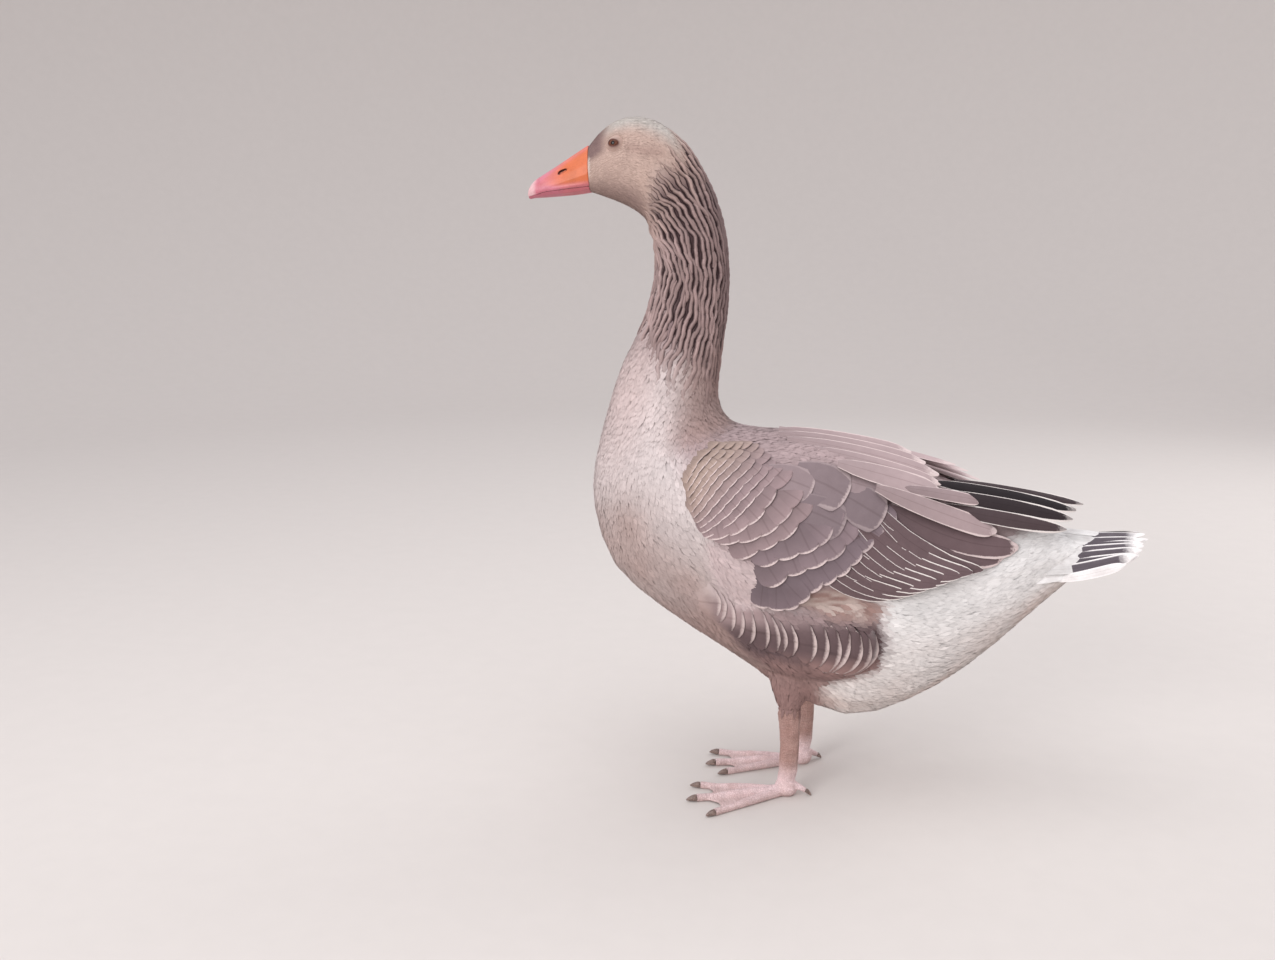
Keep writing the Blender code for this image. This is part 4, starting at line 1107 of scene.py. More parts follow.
def sow_halves(name, finish, slot, softness, wanted, *how, **more):
    """One soft coat in a left and a right piece. how starts with the seed and the spacing."""
    seed, spacing, length, width, lift, colours = how
    for side, y_sign in SIDES.items():
        plumage = Plumage()
        on_side = lambda p: wanted(p) & (p[:, 1] * y_sign >= 0)
        sown(
            plumage, body_surface(), SOFT_VANE, seed, spacing, on_side, length, width, lift, colours,
            stray=0.10, **more,
        )
        plumage.make(f"{name}_{side}", finish, (), slot, softness)


def build_body_coat(colours):
    def rear(points):
        return (within(points, WHITE_REAR, 0.004) > 0.5) | (place_on_body(points)[0] > 19.4)

    def breast(points):
        line, _ = place_on_body(points)
        flank = within(points, DARK_FLANK, 0.004) > 0.95
        return (line >= 10.9) & ~rear(points) & ~flank & ~in_wing(points) & (leg_share(points) < 0.4)

    finish = vane_finish("breast_feathers", colours["cream"], 0.16, 0.35, 0.78, mottle=0.06)
    sow_halves(
        "breast_plumage", finish, "body_pale", 0.91, breast, 31, 0.0034, 0.0120, 0.0052, 0.0011, colours,
        camber=0.0002,
    )
    finish = vane_finish("white_feathers", colours["white"], 0.2, 0.3, 0.85, mottle=0.03)
    off_legs = lambda p: rear(p) & (leg_share(p) < 0.4)
    sow_halves(
        "rear_plumage", finish, "plumage_white", 0.93, off_legs, 41, 0.0033, 0.0165, 0.0046, 0.0014, colours
    )
    thigh = Plumage()
    skin_and_legs = Surface(bpy.data.objects["goose_skin"])
    on_thigh = lambda p: (leg_share(p) >= 0.4) & (p[:, 2] > 0.104)
    sown(
        thigh, skin_and_legs, SOFT_VANE, 51, 0.0030, on_thigh, 0.0100, 0.0040, 0.0012, colours, stray=0.13
    )
    finish = vane_finish("thigh_feathers", colours["cream"], 0.15, 0.4, 0.8, mottle=0.10)
    thigh.make("thigh_plumage", finish, (), "plumage_grey", 0.6)


# The wing


# Rows of feather ends on the folded wing, from its lower front to its upper rear edge, as (x, z).
# The first, a middle and the last row of lesser coverts, which the other rows lie between.
LESSER_MASTERS = (
    ((-0.148, 0.373), (-0.139, 0.389), (-0.124, 0.402)),
    ((-0.141, 0.338), (-0.118, 0.372), (-0.084, 0.402)),
    ((-0.125, 0.316), (-0.103, 0.331), (-0.078, 0.357), (-0.056, 0.380)),
)
LESSER_ROWS = 9
MEDIAN_ROWS = (
    ((-0.115, 0.314), (-0.083, 0.328), (-0.064, 0.351), (-0.048, 0.370)),
    ((-0.104, 0.309), (-0.073, 0.316), (-0.050, 0.333), (-0.034, 0.353)),
    ((-0.084, 0.296), (-0.068, 0.304), (-0.046, 0.316), (-0.026, 0.338)),
)
LARGE_ROWS = (
    ((-0.062, 0.288), (-0.043, 0.295), (-0.023, 0.302), (-0.004, 0.315), (0.009, 0.333)),
    ((-0.052, 0.268), (-0.033, 0.279), (-0.018, 0.286), (0.002, 0.294), (0.022, 0.314)),
)
GREATER_ROW = (
    (-0.072, 0.238), (-0.050, 0.236), (-0.032, 0.242), (-0.018, 0.259), (0.002, 0.271), (0.019, 0.283),
    (0.032, 0.297), (0.048, 0.314), (0.063, 0.329),
)


def mirror_pair(plumage, name, material, solid, slot, softness=0.0):
    """The left wing's feathers and the same on the right, each in place of one solid."""
    for side, feathers in (("left", plumage), ("right", plumage.mirrored())):
        feathers.make(f"wing_{side}_{name}", material, [f"wing_{side}_{solid}"], slot, softness)


def row_heading(tips):
    """Feathers point away from the wing's front edge, square to their row of tips."""
    along = unit(np.gradient(tips, axis=0))
    return np.stack([along[:, 1], np.zeros(len(tips)), -along[:, 0]], 1)


# Painted shade: each covert is darker towards its root, where the feathers above cover it.
COVERT_SHADE = (0.66, 0.70, 0.78, 0.90, 1.0, 1.0, 1.0)


def lay_row(
    plumage, surface, row, spacing, length, lift, tint, draw, fade=1.0, tilt=0.0, overlap=1.7, bow=0.16,
    fading=0.6,
):
    """A row of broad feather ends. Their pale edges fade towards the upper end of the row."""
    fine = smooth_path(row, 60)
    count = max(3, round(np.linalg.norm(np.diff(fine, axis=0), axis=1).sum() / spacing) + 1)
    tips = smooth_path(row, count)
    heading = row_heading(tips)
    points, normals = surface.from_side(tips)
    heading = turned(heading, normals, draw.normal(0.0, 0.05, count))
    vary = varied(0.06, draw, count)
    spine, normals = comb(surface, points, heading, length * vary, WIDE_VANE.rows, from_tip=True)
    along = np.asarray(WIDE_VANE.rows)[None]
    heights = LOWEST_LIFT + lift * (0.85 + 0.3 * draw.random((count, 1))) * along
    tint = uneven(tint, 0.05, draw, count)
    plumage.add(
        WIDE_VANE, spine, normals, spacing * overlap * vary, heights, tint,
        margin=1.0 - fade * rise(np.linspace(0, 1, count), 0.55, 1.0), camber=0.0014, ridge=3.0, tilt=tilt,
        hug=surface, bow=spacing * overlap * bow, shade=COVERT_SHADE, fading=fading,
    )


def build_wing_coverts(colours):
    surface = body_surface()
    draw = np.random.default_rng(61)
    plumage = Plumage()
    wing, bend, greater = (colours[name] for name in ("wing", "wing_bend", "greater"))
    large = mix(wing, greater, 0.7)
    lay_row(
        plumage, surface, GREATER_ROW, 0.0175, 0.056, 0.0040, greater, draw, fade=0.6, tilt=0.0008,
        overlap=1.4,
    )
    for row in reversed(LARGE_ROWS):
        lay_row(plumage, surface, row, 0.0240, 0.046, 0.0040, large, draw, overlap=1.5, bow=0.2)
    for row in reversed(MEDIAN_ROWS):
        lay_row(plumage, surface, row, 0.0220, 0.036, 0.0036, wing, draw, overlap=1.6, bow=0.14)
    first, middle, last = (smooth_path(row, 12) for row in LESSER_MASTERS)
    for k in range(LESSER_ROWS, -1, -1):
        share = k / LESSER_ROWS
        half = share * 2.0
        row = mix(first, middle, half) if half < 1 else mix(middle, last, half - 1)
        lay_row(
            plumage, surface, row, mix(0.010, 0.0145, share), mix(0.015, 0.026, share), 0.0030,
            mix(bend, wing, rise(share, 0.2, 0.9)), draw, bow=0.10, fading=0.25,
        )
    finish = vane_finish("covert_feathers", colours["covert_edge"], 0.105, 0.8, mottle=0.15, sides=0.0)
    mirror_pair(plumage, "covert_feathers", finish, "coverts", "plumage_grey", 0.35)


# Scapulars: root, middle and end of each as (x, z), its width, how pale its edge is, and how pink it is.
SCAPULARS = (
    ((-0.070, 0.380), (-0.045, 0.373), (-0.021, 0.364), 0.038, 0.40, 0.3),
    ((-0.045, 0.350), (-0.018, 0.342), (0.012, 0.328), 0.042, 0.25, 0.0),
    ((-0.040, 0.380), (-0.012, 0.370), (0.014, 0.356), 0.050, 0.60, 0.1),
    ((0.000, 0.362), (0.026, 0.350), (0.052, 0.334), 0.046, 0.45, 0.0),
    ((0.005, 0.374), (0.030, 0.366), (0.056, 0.357), 0.036, 0.90, 0.4),
)
# Tertials, and the dark feathers under them: root, bend and end of each as (x, y, z), its width and how
# pink it is.
TERTIALS = (
    ((0.060, -0.086, 0.336), (0.124, -0.086, 0.2900), (0.183, -0.056, 0.2920), 0.0280, 0.0),
    ((0.060, -0.082, 0.346), (0.130, -0.081, 0.3020), (0.198, -0.050, 0.3000), 0.0280, 0.0),
    ((0.070, -0.070, 0.366), (0.128, -0.062, 0.3570), (0.157, -0.046, 0.3480), 0.0160, 0.7),
    ((0.045, -0.086, 0.368), (0.124, -0.074, 0.3350), (0.174, -0.056, 0.3175), 0.0240, 0.9),
    ((0.005, -0.074, 0.391), (0.074, -0.066, 0.3730), (0.115, -0.048, 0.3580), 0.0320, 1.0),
)
TERTIAL_FACING = (
    (0.25, -0.90, 0.35), (0.25, -0.90, 0.35), (0.3, -0.65, 0.75), (0.3, -0.80, 0.55), (0.3, -0.55, 0.80)
)
# Painted shade: tertials and roof feathers are darker towards their roots, which lie under other feathers.
TERTIAL_SHADE = (0.80, 0.82, 0.85, 0.90, 0.95, 1.0, 1.0, 1.0, 1.0, 1.0, 1.0)
# The long feathers that roof the back, as (x, y, z) on the left, with their widths.
ROOF_FEATHERS = (
    ((-0.020, -0.046, 0.4010), (0.050, -0.047, 0.3880), (0.116, -0.038, 0.3640), 0.0200),
    ((-0.050, -0.034, 0.4090), (0.035, -0.036, 0.4000), (0.114, -0.028, 0.3720), 0.0210),
    ((-0.060, -0.022, 0.4130), (0.020, -0.024, 0.4060), (0.100, -0.020, 0.3830), 0.0210),
    ((-0.060, -0.009, 0.4150), (0.010, -0.010, 0.4090), (0.085, -0.009, 0.3920), 0.0220),
)
ROOF_LONGER_ON_THE_RIGHT = 0.050
EDGE_DROP = 0.0045  # a quill that drops farther than this from row to row has left the wing


def steadied(points, normals):
    """Keeps quills from dropping off the wing's edge on to the body behind it."""
    for row in range(1, points.shape[1]):
        fallen = np.abs(points[:, row - 1, 1]) - np.abs(points[:, row, 1]) > EDGE_DROP
        points[fallen, row, 1] = points[fallen, row - 1, 1] * 0.985
        normals[fallen, row] = normals[fallen, row - 1]
    return points, normals


def lay_along(plumage, surface, vane, routes, widths, lifts, tint, margin, draw, camber, fading=0.0):
    """Feathers along given routes of the side view, over the surface."""
    fine = np.asarray(vane.rows)
    paths = [along_path(np.linspace(0, 1, 40), smooth_path(route, 40), fine) for route in routes]
    points, normals = surface.from_side(np.concatenate(paths))
    shape = (len(routes), len(fine), 3)
    points, normals = steadied(points.reshape(shape), normals.reshape(shape))
    heights = LOWEST_LIFT + np.asarray(lifts, float).reshape(-1, 1) * (0.35 + 0.65 * fine[None])
    tint = uneven(tint, 0.04, draw, len(routes))
    plumage.add(vane, points, normals, widths, heights, tint, margin, camber, fading=fading)


def build_scapulars(colours):
    surface = body_surface()
    draw = np.random.default_rng(71)
    plumage = Plumage()
    pink = colours["tertial"]
    *routes, widths, paleness, pinkness = columns_of(SCAPULARS)
    lay_along(
        plumage, surface, WIDE_VANE, np.stack(routes, 1), widths, np.linspace(0.0034, 0.0056, len(SCAPULARS)),
        mix(colours["scapular"], pink, pinkness[:, None]), paleness, draw, camber=0.0016, fading=0.7,
    )
    roots, bends, tips, widths, pinkness = columns_of(TERTIALS)
    tint = mix(colours["secondary"] * 1.08, pink, pinkness[:, None])
    free_feathers(
        plumage, roots, bends, tips, TERTIAL_FACING, widths, tint, 1.0, draw, 0.0014, shade=TERTIAL_SHADE
    )
    finish = vane_finish("scapular_feathers", colours["covert_edge"], 0.11, 0.8, mottle=0.15, taper=0.2)
    mirror_pair(plumage, "scapulars_tertials", finish, "tertials", "plumage_grey", 0.2)
    roof_finish = vane_finish("roof_feathers", colours["covert_edge"], 0.16, 0.8, mottle=0.15)
    for side, y_sign in SIDES.items():
        roof = Plumage()
        roots, middles, tips, widths = columns_of(ROOF_FEATHERS)
        flip = [1.0, -y_sign, 1.0]
        longer = ROOF_LONGER_ON_THE_RIGHT if side == "right" else 0.0
        tips = tips + np.array([longer, 0.0, -0.30 * longer])
        middles = middles + np.array([longer, 0.0, -0.20 * longer]) / 2
        facing = [0.1, 0.75 if side == "left" else -0.1, 1.0] * np.array([1, y_sign, 1])
        facing = np.tile(facing, (len(roots), 1))
        # Painted light: the right roof feathers are made lighter to make up for the shade they lie in.
        tint = mix(pink, colours["mantle"], 0.5) if side == "left" else pink * 1.15
        free_feathers(
            roof, roots * flip, middles * flip, tips * flip, facing, widths, tint, 1.0, draw, 0.0014,
            shade=TERTIAL_SHADE,
        )
        roof.make(f"roof_feathers_{side}", roof_finish, (), "plumage_grey")


# The lower edges of the outermost and innermost secondaries, from under the coverts to the wing's edge.
OUTER_SECONDARY = ((-0.030, 0.289), (-0.004, 0.268), (0.019, 0.255), (0.043, 0.2490), (0.070, 0.2530))
INNER_SECONDARY = ((0.030, 0.345), (0.060, 0.314), (0.091, 0.291), (0.122, 0.2785), (0.155, 0.2815))
SECONDARY_SHAFT = np.array((1.0, 1.0, 1.0, 0.9, 0.1))[:, None]
SECONDARY_COUNT = 9
SECONDARY_WIDTH = 0.0200


def build_secondaries(colours):
    surface = body_surface()
    draw = np.random.default_rng(81)
    plumage = Plumage()
    share = np.linspace(0.0, 1.0, SECONDARY_COUNT)
    outer, inner = np.array(OUTER_SECONDARY), np.array(INNER_SECONDARY)
    to_shaft = unit(np.array([0.50, 0.87])) * SECONDARY_WIDTH / 2
    routes = [mix(outer, inner, s) + to_shaft * SECONDARY_SHAFT for s in share]
    widths = np.full(SECONDARY_COUNT, SECONDARY_WIDTH)
    lay_along(
        plumage, surface, POINTED_VANE, routes, widths, 0.0016 + 0.0064 * share, colours["secondary"], 1.0,
        draw, camber=0.0002,
    )
    finish = vane_finish(
        "flight_feathers", colours["flight_edge"], 0.085, 1.0, 0.6, mottle=0.2, ends=0.0, taper=0.12
    )
    mirror_pair(plumage, "secondary_feathers", finish, "secondaries", "plumage_dark")


def free_feathers(
    plumage, roots, middles, tips, facing, widths, tint, margin, draw, camber, vane=LONG_VANE, shade=None
):
    """Long feathers that stand free of the body, along curves from root to tip."""
    t = np.asarray(vane.rows)[None, :, None]
    roots, middles, tips = (np.asarray(x, float)[:, None] for x in (roots, middles, tips))
    spine = (1 - t) ** 2 * roots + 2 * t * (1 - t) * middles + t**2 * tips
    forward = unit(np.gradient(spine, axis=1))
    normals = np.broadcast_to(np.asarray(facing, float)[:, None], spine.shape)
    normals = unit(normals - forward * dot(normals, forward))
    tint = uneven(tint, 0.06, draw, len(roots))
    plumage.add(vane, spine, normals, widths, 0.0, tint, margin, camber, shade=shade)


# Primaries as (x, y, z) on the left, with width and how dark each is.
PRIMARIES = (
    ((0.110, -0.058, 0.344), (0.178, -0.060, 0.3320), (0.248, -0.042, 0.3190), 0.0170, 0.5),
    ((0.108, -0.048, 0.357), (0.185, -0.051, 0.3460), (0.255, -0.035, 0.3290), 0.0170, 0.9),
    ((0.108, -0.038, 0.366), (0.190, -0.041, 0.3550), (0.259, -0.028, 0.3370), 0.0150, 1.0),
    ((0.130, -0.026, 0.366), (0.205, -0.029, 0.3560), (0.268, -0.018, 0.3420), 0.0120, 0.7),
)
RIGHT_PRIMARY_DROP = 0.013  # the right wing is folded a little lower than the left
PRIMARY_EDGES = {"left": 0.12, "right": 0.30}


def build_primaries(colours):
    draw = np.random.default_rng(91)
    roots, middles, tips, widths, dark = columns_of(PRIMARIES)
    upwards = np.linspace(0, 1, len(roots))[:, None]
    facing = mix(np.array([0.15, -1.0, 0.40]), np.array([0.10, -0.8, 0.8]), upwards)
    tint = mix(colours["secondary"] * 0.9, colours["primary"], dark[:, None])
    for side, y_sign in SIDES.items():
        plumage = Plumage()
        finish = vane_finish(
            f"primary_feathers_{side}", colours["flight_edge"], PRIMARY_EDGES[side], 1.0, 0.6, mottle=0.2,
            ends=0.4, taper=0.3,
        )
        flip = np.array([1.0, -y_sign, 1.0])
        drop = np.array([0.0, 0.0, RIGHT_PRIMARY_DROP if side == "right" else 0.0])
        free_feathers(
            plumage, roots * flip - drop * 0.6, middles * flip - drop, tips * flip - drop, facing * flip,
            widths, tint, 1.0, draw, 0.0015, POINTED_VANE,
        )
        plumage.make(f"wing_{side}_primary_feathers", finish, [f"wing_{side}_primaries"], "plumage_dark")


# The flank feathers' ends as (x, z): upper corner, tip and lower corner, from the breast to the white rear.
FLANK_ENDS = (
    ((-0.122, 0.254), (-0.114, 0.236), (-0.121, 0.218)),
    ((-0.115, 0.246), (-0.108, 0.229), (-0.117, 0.212)),
    ((-0.106, 0.240), (-0.098, 0.221), (-0.106, 0.203)),
    ((-0.092, 0.231), (-0.088, 0.214), (-0.097, 0.195)),
    ((-0.082, 0.230), (-0.076, 0.210), (-0.084, 0.188)),
    ((-0.071, 0.233), (-0.061, 0.211), (-0.068, 0.184)),
    ((-0.062, 0.232), (-0.050, 0.210), (-0.056, 0.183)),
    ((-0.052, 0.226), (-0.042, 0.208), (-0.048, 0.184)),
    ((-0.041, 0.225), (-0.031, 0.206), (-0.039, 0.180)),
    ((-0.020, 0.226), (-0.011, 0.203), (-0.020, 0.174)),
    ((-0.006, 0.224), (0.002, 0.202), (-0.010, 0.168)),
    ((0.008, 0.223), (0.016, 0.202), (-0.002, 0.163)),
    ((0.021, 0.221), (0.024, 0.198), (0.002, 0.161)),
    ((0.032, 0.220), (0.037, 0.195), (0.012, 0.161)),
    ((0.043, 0.218), (0.045, 0.190), (0.020, 0.160)),
    ((0.049, 0.222), (0.052, 0.196), (0.030, 0.160)),
)
FLANK_LENGTH = 0.036
FLANK_SHADE = (1.12, 1.12, 1.10, 1.04, 0.96, 0.92, 0.92)


def build_flanks(colours):
    surface = body_surface()
    draw = np.random.default_rng(101)
    plumage = Plumage()
    upper, tips, lower = columns_of(FLANK_ENDS)
    chord = upper - lower
    width = np.linalg.norm(chord, axis=1)
    across = chord / width[:, None]
    ahead = np.stack([across[:, 1], -across[:, 0]], 1)
    bulge = ((tips - lower) * ahead).sum(1)
    middle = (upper + lower) / 2 + ahead * bulge[:, None]
    points, normals = surface.from_side(middle)
    heading = np.stack([ahead[:, 0], 0 * bulge, ahead[:, 1]], 1)
    heading = turned(heading, normals, draw.normal(0, 0.03, len(tips)))
    spine, normals = comb(surface, points, heading, FLANK_LENGTH, WIDE_VANE.rows, from_tip=True)
    heights = LOWEST_LIFT + 0.0034 * np.asarray(WIDE_VANE.rows)[None]
    share = rise(tips[:, 0], -0.12, -0.04)
    plumage.add(
        WIDE_VANE, spine, normals, width * mix(1.40, 1.15, share), heights, lambda p: markings(p, colours),
        margin=(0.75 + 0.25 * draw.random(len(tips))) * mix(0.95, 1.0, share), camber=0.0030, ridge=3.0,
        bow=bulge * 1.7, hug=surface, shade=FLANK_SHADE, fading=0.35,
    )
    finish = vane_finish("flank_feathers", colours["flank_edge"], 0.23, 0.8, mottle=0.2, sides=0.0)
    plumage.make("flank_left_feathers", finish, ["flank_left"], "plumage_dark", 0.3)
    plumage.mirrored().make("flank_right_feathers", finish, ["flank_right"], "plumage_dark", 0.3)
    down = Plumage()
    for y_sign in SIDES.values():
        sown(
            down, surface, SOFT_VANE, 105, 0.0042,
            lambda p: (within(p, DARK_FLANK, 0.004) > 0.5) & (leg_share(p) < 0.4) & (p[:, 1] * y_sign > 0),
            0.0140, 0.0060, 0.0010, colours, stray=0.06,
        )
    finish = vane_finish("flank_down", colours["cream"], 0.15, 0.4, 0.8, mottle=0.10, sides=0.2, ends=0.3)
    down.make("flank_down", finish, (), "plumage_grey", 0.6)


TAIL_FEATHERS = 20
TAIL_ROOT, TAIL_TIP = 0.2380, 0.3400
TAIL_BLADE = LONG_VANE._replace(
    outline=(0.35, 0.7, 0.86, 0.94, 0.98, 1.0, 0.98, 0.92, 0.78, 0.56, 0.24), round_tip=0.03
)
TAIL_COVERTS = 27
TAIL_COVERT_ROOT, TAIL_COVERT_WIDTH = 0.215, 0.0110
# The two rows of tail coverts: how far back each reaches, half its width, and how far its sides hang down.
TAIL_COVERT_ROWS = ((0.274, 0.038, 0.040), (0.288, 0.036, 0.032))


def build_tail(colours):
    """A shallow roof of feathers: dark with white edges in the middle, white at the outside."""
    draw = np.random.default_rng(111)
    plumage = Plumage()
    s = np.linspace(-1.0, 1.0, TAIL_FEATHERS)
    s = s[np.argsort(-np.abs(s))]
    raised = 0.004 * (1.0 - np.abs(s))
    roots = np.stack([np.full(len(s), TAIL_ROOT), 0.036 * s, 0.3015 - 0.040 * s**2 + raised], 1)
    uneven = draw.normal(0.0, 0.0024, (len(s), 2))
    reach = TAIL_TIP - 0.004 - 0.026 * s**4 + uneven[:, 0]
    tips = np.stack([reach, 0.050 * s, 0.3035 - 0.017 * s**2 + raised], 1)
    tips[:, 2] += uneven[:, 1] * 0.6
    middles = (roots + tips) / 2 + np.stack([0 * s, 0.006 * s, 0.001 - 0.004 * np.abs(s)], 1)
    facing = np.stack([np.full(len(s), 0.1), 1.5 * s, np.full(len(s), 0.8)], 1)
    outer = rise(np.abs(s), 0.9, 1.0)[:, None]
    tint = mix(colours["tail"], colours["tail_edge"], outer)
    widths = 0.0130 - 0.0020 * outer[:, 0]
    free_feathers(plumage, roots, middles, tips, facing, widths, tint, 1.0, draw, 0.0010, TAIL_BLADE)
    finish = vane_finish("tail_feathers", colours["tail_edge"], 0.34, 1.0, 0.65)
    plumage.make("tail_feathers", finish, ["tail"], "plumage_dark")
    coverts = Plumage()
    s = np.linspace(-1.0, 1.0, TAIL_COVERTS)
    for reach, spread, drop in TAIL_COVERT_ROWS:
        jitter = draw.normal(0.0, 0.006, len(s))
        roots = np.stack([0 * s + TAIL_COVERT_ROOT, (spread + 0.004) * s, 0.3120 - drop * 1.3 * s**2], 1)
        tips = np.stack([reach - 0.028 * s**2 + jitter, spread * s, 0.3070 - drop * s**2], 1)
        facing = np.stack([np.full(len(s), 0.1), 1.5 * s, np.full(len(s), 0.9)], 1)
        middles = (roots + tips) / 2 + [0.0, 0.0, 0.002]
        free_feathers(
            coverts, roots, middles, tips, facing, TAIL_COVERT_WIDTH, colours["white"], 0.5, draw, 0.0010
        )
    finish = vane_finish("tail_coverts", colours["white"], 0.3, 0.8)
    coverts.make("tail_coverts", finish, (), "plumage_white", 0.4)


# Bill, eyes and claws


def horn_finish(name, scale=1.0, roughness=0.42):
    """Smooth horn: even colour with soft blotches and small pits."""
    material, tree, shader = new_finish(name)
    tint = attribute(tree, "tint")
    blotch = noise(tree, 70.0 * scale, 4.0, 0.6)
    colour = darken(tree, stretch(tree, blotch, 0.4, 0.75, 0.0, 0.35), tint, (0.72, 0.55, 0.48))
    pits = noise(tree, 520.0 * scale, 4.0, 0.6)
    colour = darken(tree, stretch(tree, pits, 0.5, 0.72, 0.0, 0.25), colour, (0.6, 0.42, 0.36))
    coloured(tree, shader, colour, roughness)
    bumped(tree, shader, sum_of(tree, "ADD", pits, blotch), 0.0002)
    return material


# The line of the mouth, and the middle of the nostril, as (x, z).
MOUTH = np.array(((-0.345, 0.6655), (-0.318, 0.6720), (-0.290, 0.6755), (-0.262, 0.6785)))
NOSTRIL = (-0.3005, 0.6935)
NOSTRIL_LONG, NOSTRIL_TALL = 0.0060, 0.0015
HOLLOW_LONG, HOLLOW_TALL = 0.0085, 0.0042
NOSTRIL_LEAN = math.radians(28)
NAIL_EDGE = -0.3268
NAIL_LAP = 0.003  # how far the upper bill runs on under the nail


def mouth_height(x):
    return np.interp(x, MOUTH[:, 0], MOUTH[:, 1])


def bill_colours(points, colours):
    """Orange from the forehead down, pink along the cutting edge and towards the nail."""
    forward = rise(-points[:, 0], 0.292, 0.334)
    low_edge = 1.0 - rise(points[:, 2] - mouth_height(points[:, 0]), 0.001, 0.008)
    culmen = rise(points[:, 2] - 0.7195 + 0.62 * (-points[:, 0] - 0.2700), -0.004, 0.001)
    pink = np.clip(forward + 0.8 * low_edge + 0.35 * culmen, 0, 1)[:, None]
    colour = mix(colours["bill_orange"], colours["bill_pink"], pink)
    return np.clip(colour * (1 + 0.07 * value_noise(points, 0.008, 6)[:, None]), 0, 1)


def carve_bill(points, normals):
    """Sinks the nostril slits with a shallow hollow round them, and rolls the cutting edge out a little; the
    slits' share is returned for their painted shade.
    """
    x, z = points[:, 0] - NOSTRIL[0], points[:, 2] - NOSTRIL[1]
    cosine, sine = math.cos(NOSTRIL_LEAN), math.sin(NOSTRIL_LEAN)
    along, across = x * cosine + z * sine, z * cosine - x * sine
    across = across + 9.0 * along**2
    on_side = rise(np.abs(normals[:, 1]), 0.15, 0.35)
    slit = np.exp(-((along / NOSTRIL_LONG) ** 4) - (across / NOSTRIL_TALL) ** 2) * on_side
    hollow = np.exp(-((along / HOLLOW_LONG) ** 2) - (across / HOLLOW_TALL) ** 2) * on_side
    edge = np.exp(-(((points[:, 2] - mouth_height(points[:, 0]) - 0.0022) / 0.0016) ** 2)) * on_side
    depth = -0.0016 * slit - 0.0007 * hollow + 0.0005 * edge
    return points + normals * depth[:, None], slit


def trimmed(mesh, wanted):
    """Keeps only the wanted part of a mesh."""
    spare = np.flatnonzero(~wanted(vertex_arrays(mesh)[0]))

    def cut(made):
        made.verts.ensure_lookup_table()
        bmesh.ops.delete(made, geom=[made.verts[k] for k in spare], context="VERTS")

    reworked(mesh, cut)


def build_bill(colours):
    finishes = {"bill": horn_finish("bill_horn"), "bill_nail": horn_finish("nail_horn", 1.4, 0.35)}
    for piece, slot in (("bill_upper", "bill"), ("bill_lower", "bill"), ("bill_nail", "bill_nail")):
        if piece == "bill_lower":
            obj = fused(f"{piece}_horn", [piece], HORN_VOXEL, HORN_RELAXING, HORN_SWELL)
        else:
            nail = piece == "bill_nail"
            swell = NAIL_SWELL if nail else UPPER_BILL_SWELL
            obj = fused(f"{piece}_horn", ["bill_upper", "bill_nail"], HORN_VOXEL, HORN_RELAXING, swell)
            trimmed(obj.data, lambda p: p[:, 0] < NAIL_EDGE if nail else p[:, 0] > NAIL_EDGE - NAIL_LAP)
        points, normals = vertex_arrays(obj.data)
        tint = bill_colours(points, colours)
        if piece == "bill_upper":
            points, slit = carve_bill(points, normals)
            # Painted shade inside the nostril slits.
            tint = mix(tint, colours["nostril"], 0.95 * rise(slit, 0.15, 0.7)[:, None])
            obj.data.vertices.foreach_set("co", points.ravel())
        elif piece == "bill_lower":
            tint = tint * np.array([0.86, 0.80, 0.82])
        else:
            tint = mix(tint, colours["bill_nail"], rise(-points[:, 0], 0.3275, 0.3345)[:, None])
            tint = tint * (1 + 0.06 * value_noise(points, 0.004, 7)[:, None])
        set_tint(obj.data, np.clip(tint, 0, 1))
        obj.data.materials.append(finishes[slot])
        settle(obj, [piece])


def claw_finish():
    material, tree, shader = new_finish("claw_horn")
    streaks = {"Vector": object_place(tree), "Scale": 380.0, "Detail": 5.0, "Distortion": 1.5}
    streak = node(tree, "ShaderNodeTexNoise", streaks).outputs["Fac"]
    colour = blend_colours(tree, stretch(tree, streak, 0.3, 0.7), tone(96, 80, 74), tone(150, 128, 120))
    coloured(tree, shader, colour, 0.38)
    bumped(tree, shader, streak, 0.00015)
    return material


def build_claws():
    finish = claw_finish()
    for side in SIDES:
        claws = [f"claw_{side}_{toe}" for toe in ("inner", "middle", "outer", "hind")]
        obj = fused(f"claws_{side}", claws, CLAW_VOXEL, CLAW_RELAXING, HORN_SWELL)
        obj.data.materials.append(finish)
        settle(obj, claws)


PUPIL, IRIS = 0.0021, 0.0056
EYEBALL_SHARE = 0.985  # of the solid eye's radius
LID_SEGMENTS = 56
# The eyelids, ring by ring from the opening outwards: half length, half height, and height over the eyeball.
LIDS_ON_THE_EYE = (
    (0.0053, 0.0033, -0.0002), (0.0055, 0.0035, 0.0005), (0.0058, 0.0038, 0.0008), (0.0062, 0.0044, 0.0007),
    (0.0067, 0.0053, 0.0004),
)
LIDS_ON_THE_SKIN = ((0.0074, 0.0068, 0.0), (0.0084, 0.0080, -0.0014))


def eye_axis(side):
    return unit(np.array([-0.20, SIDES[side], 0.12]))


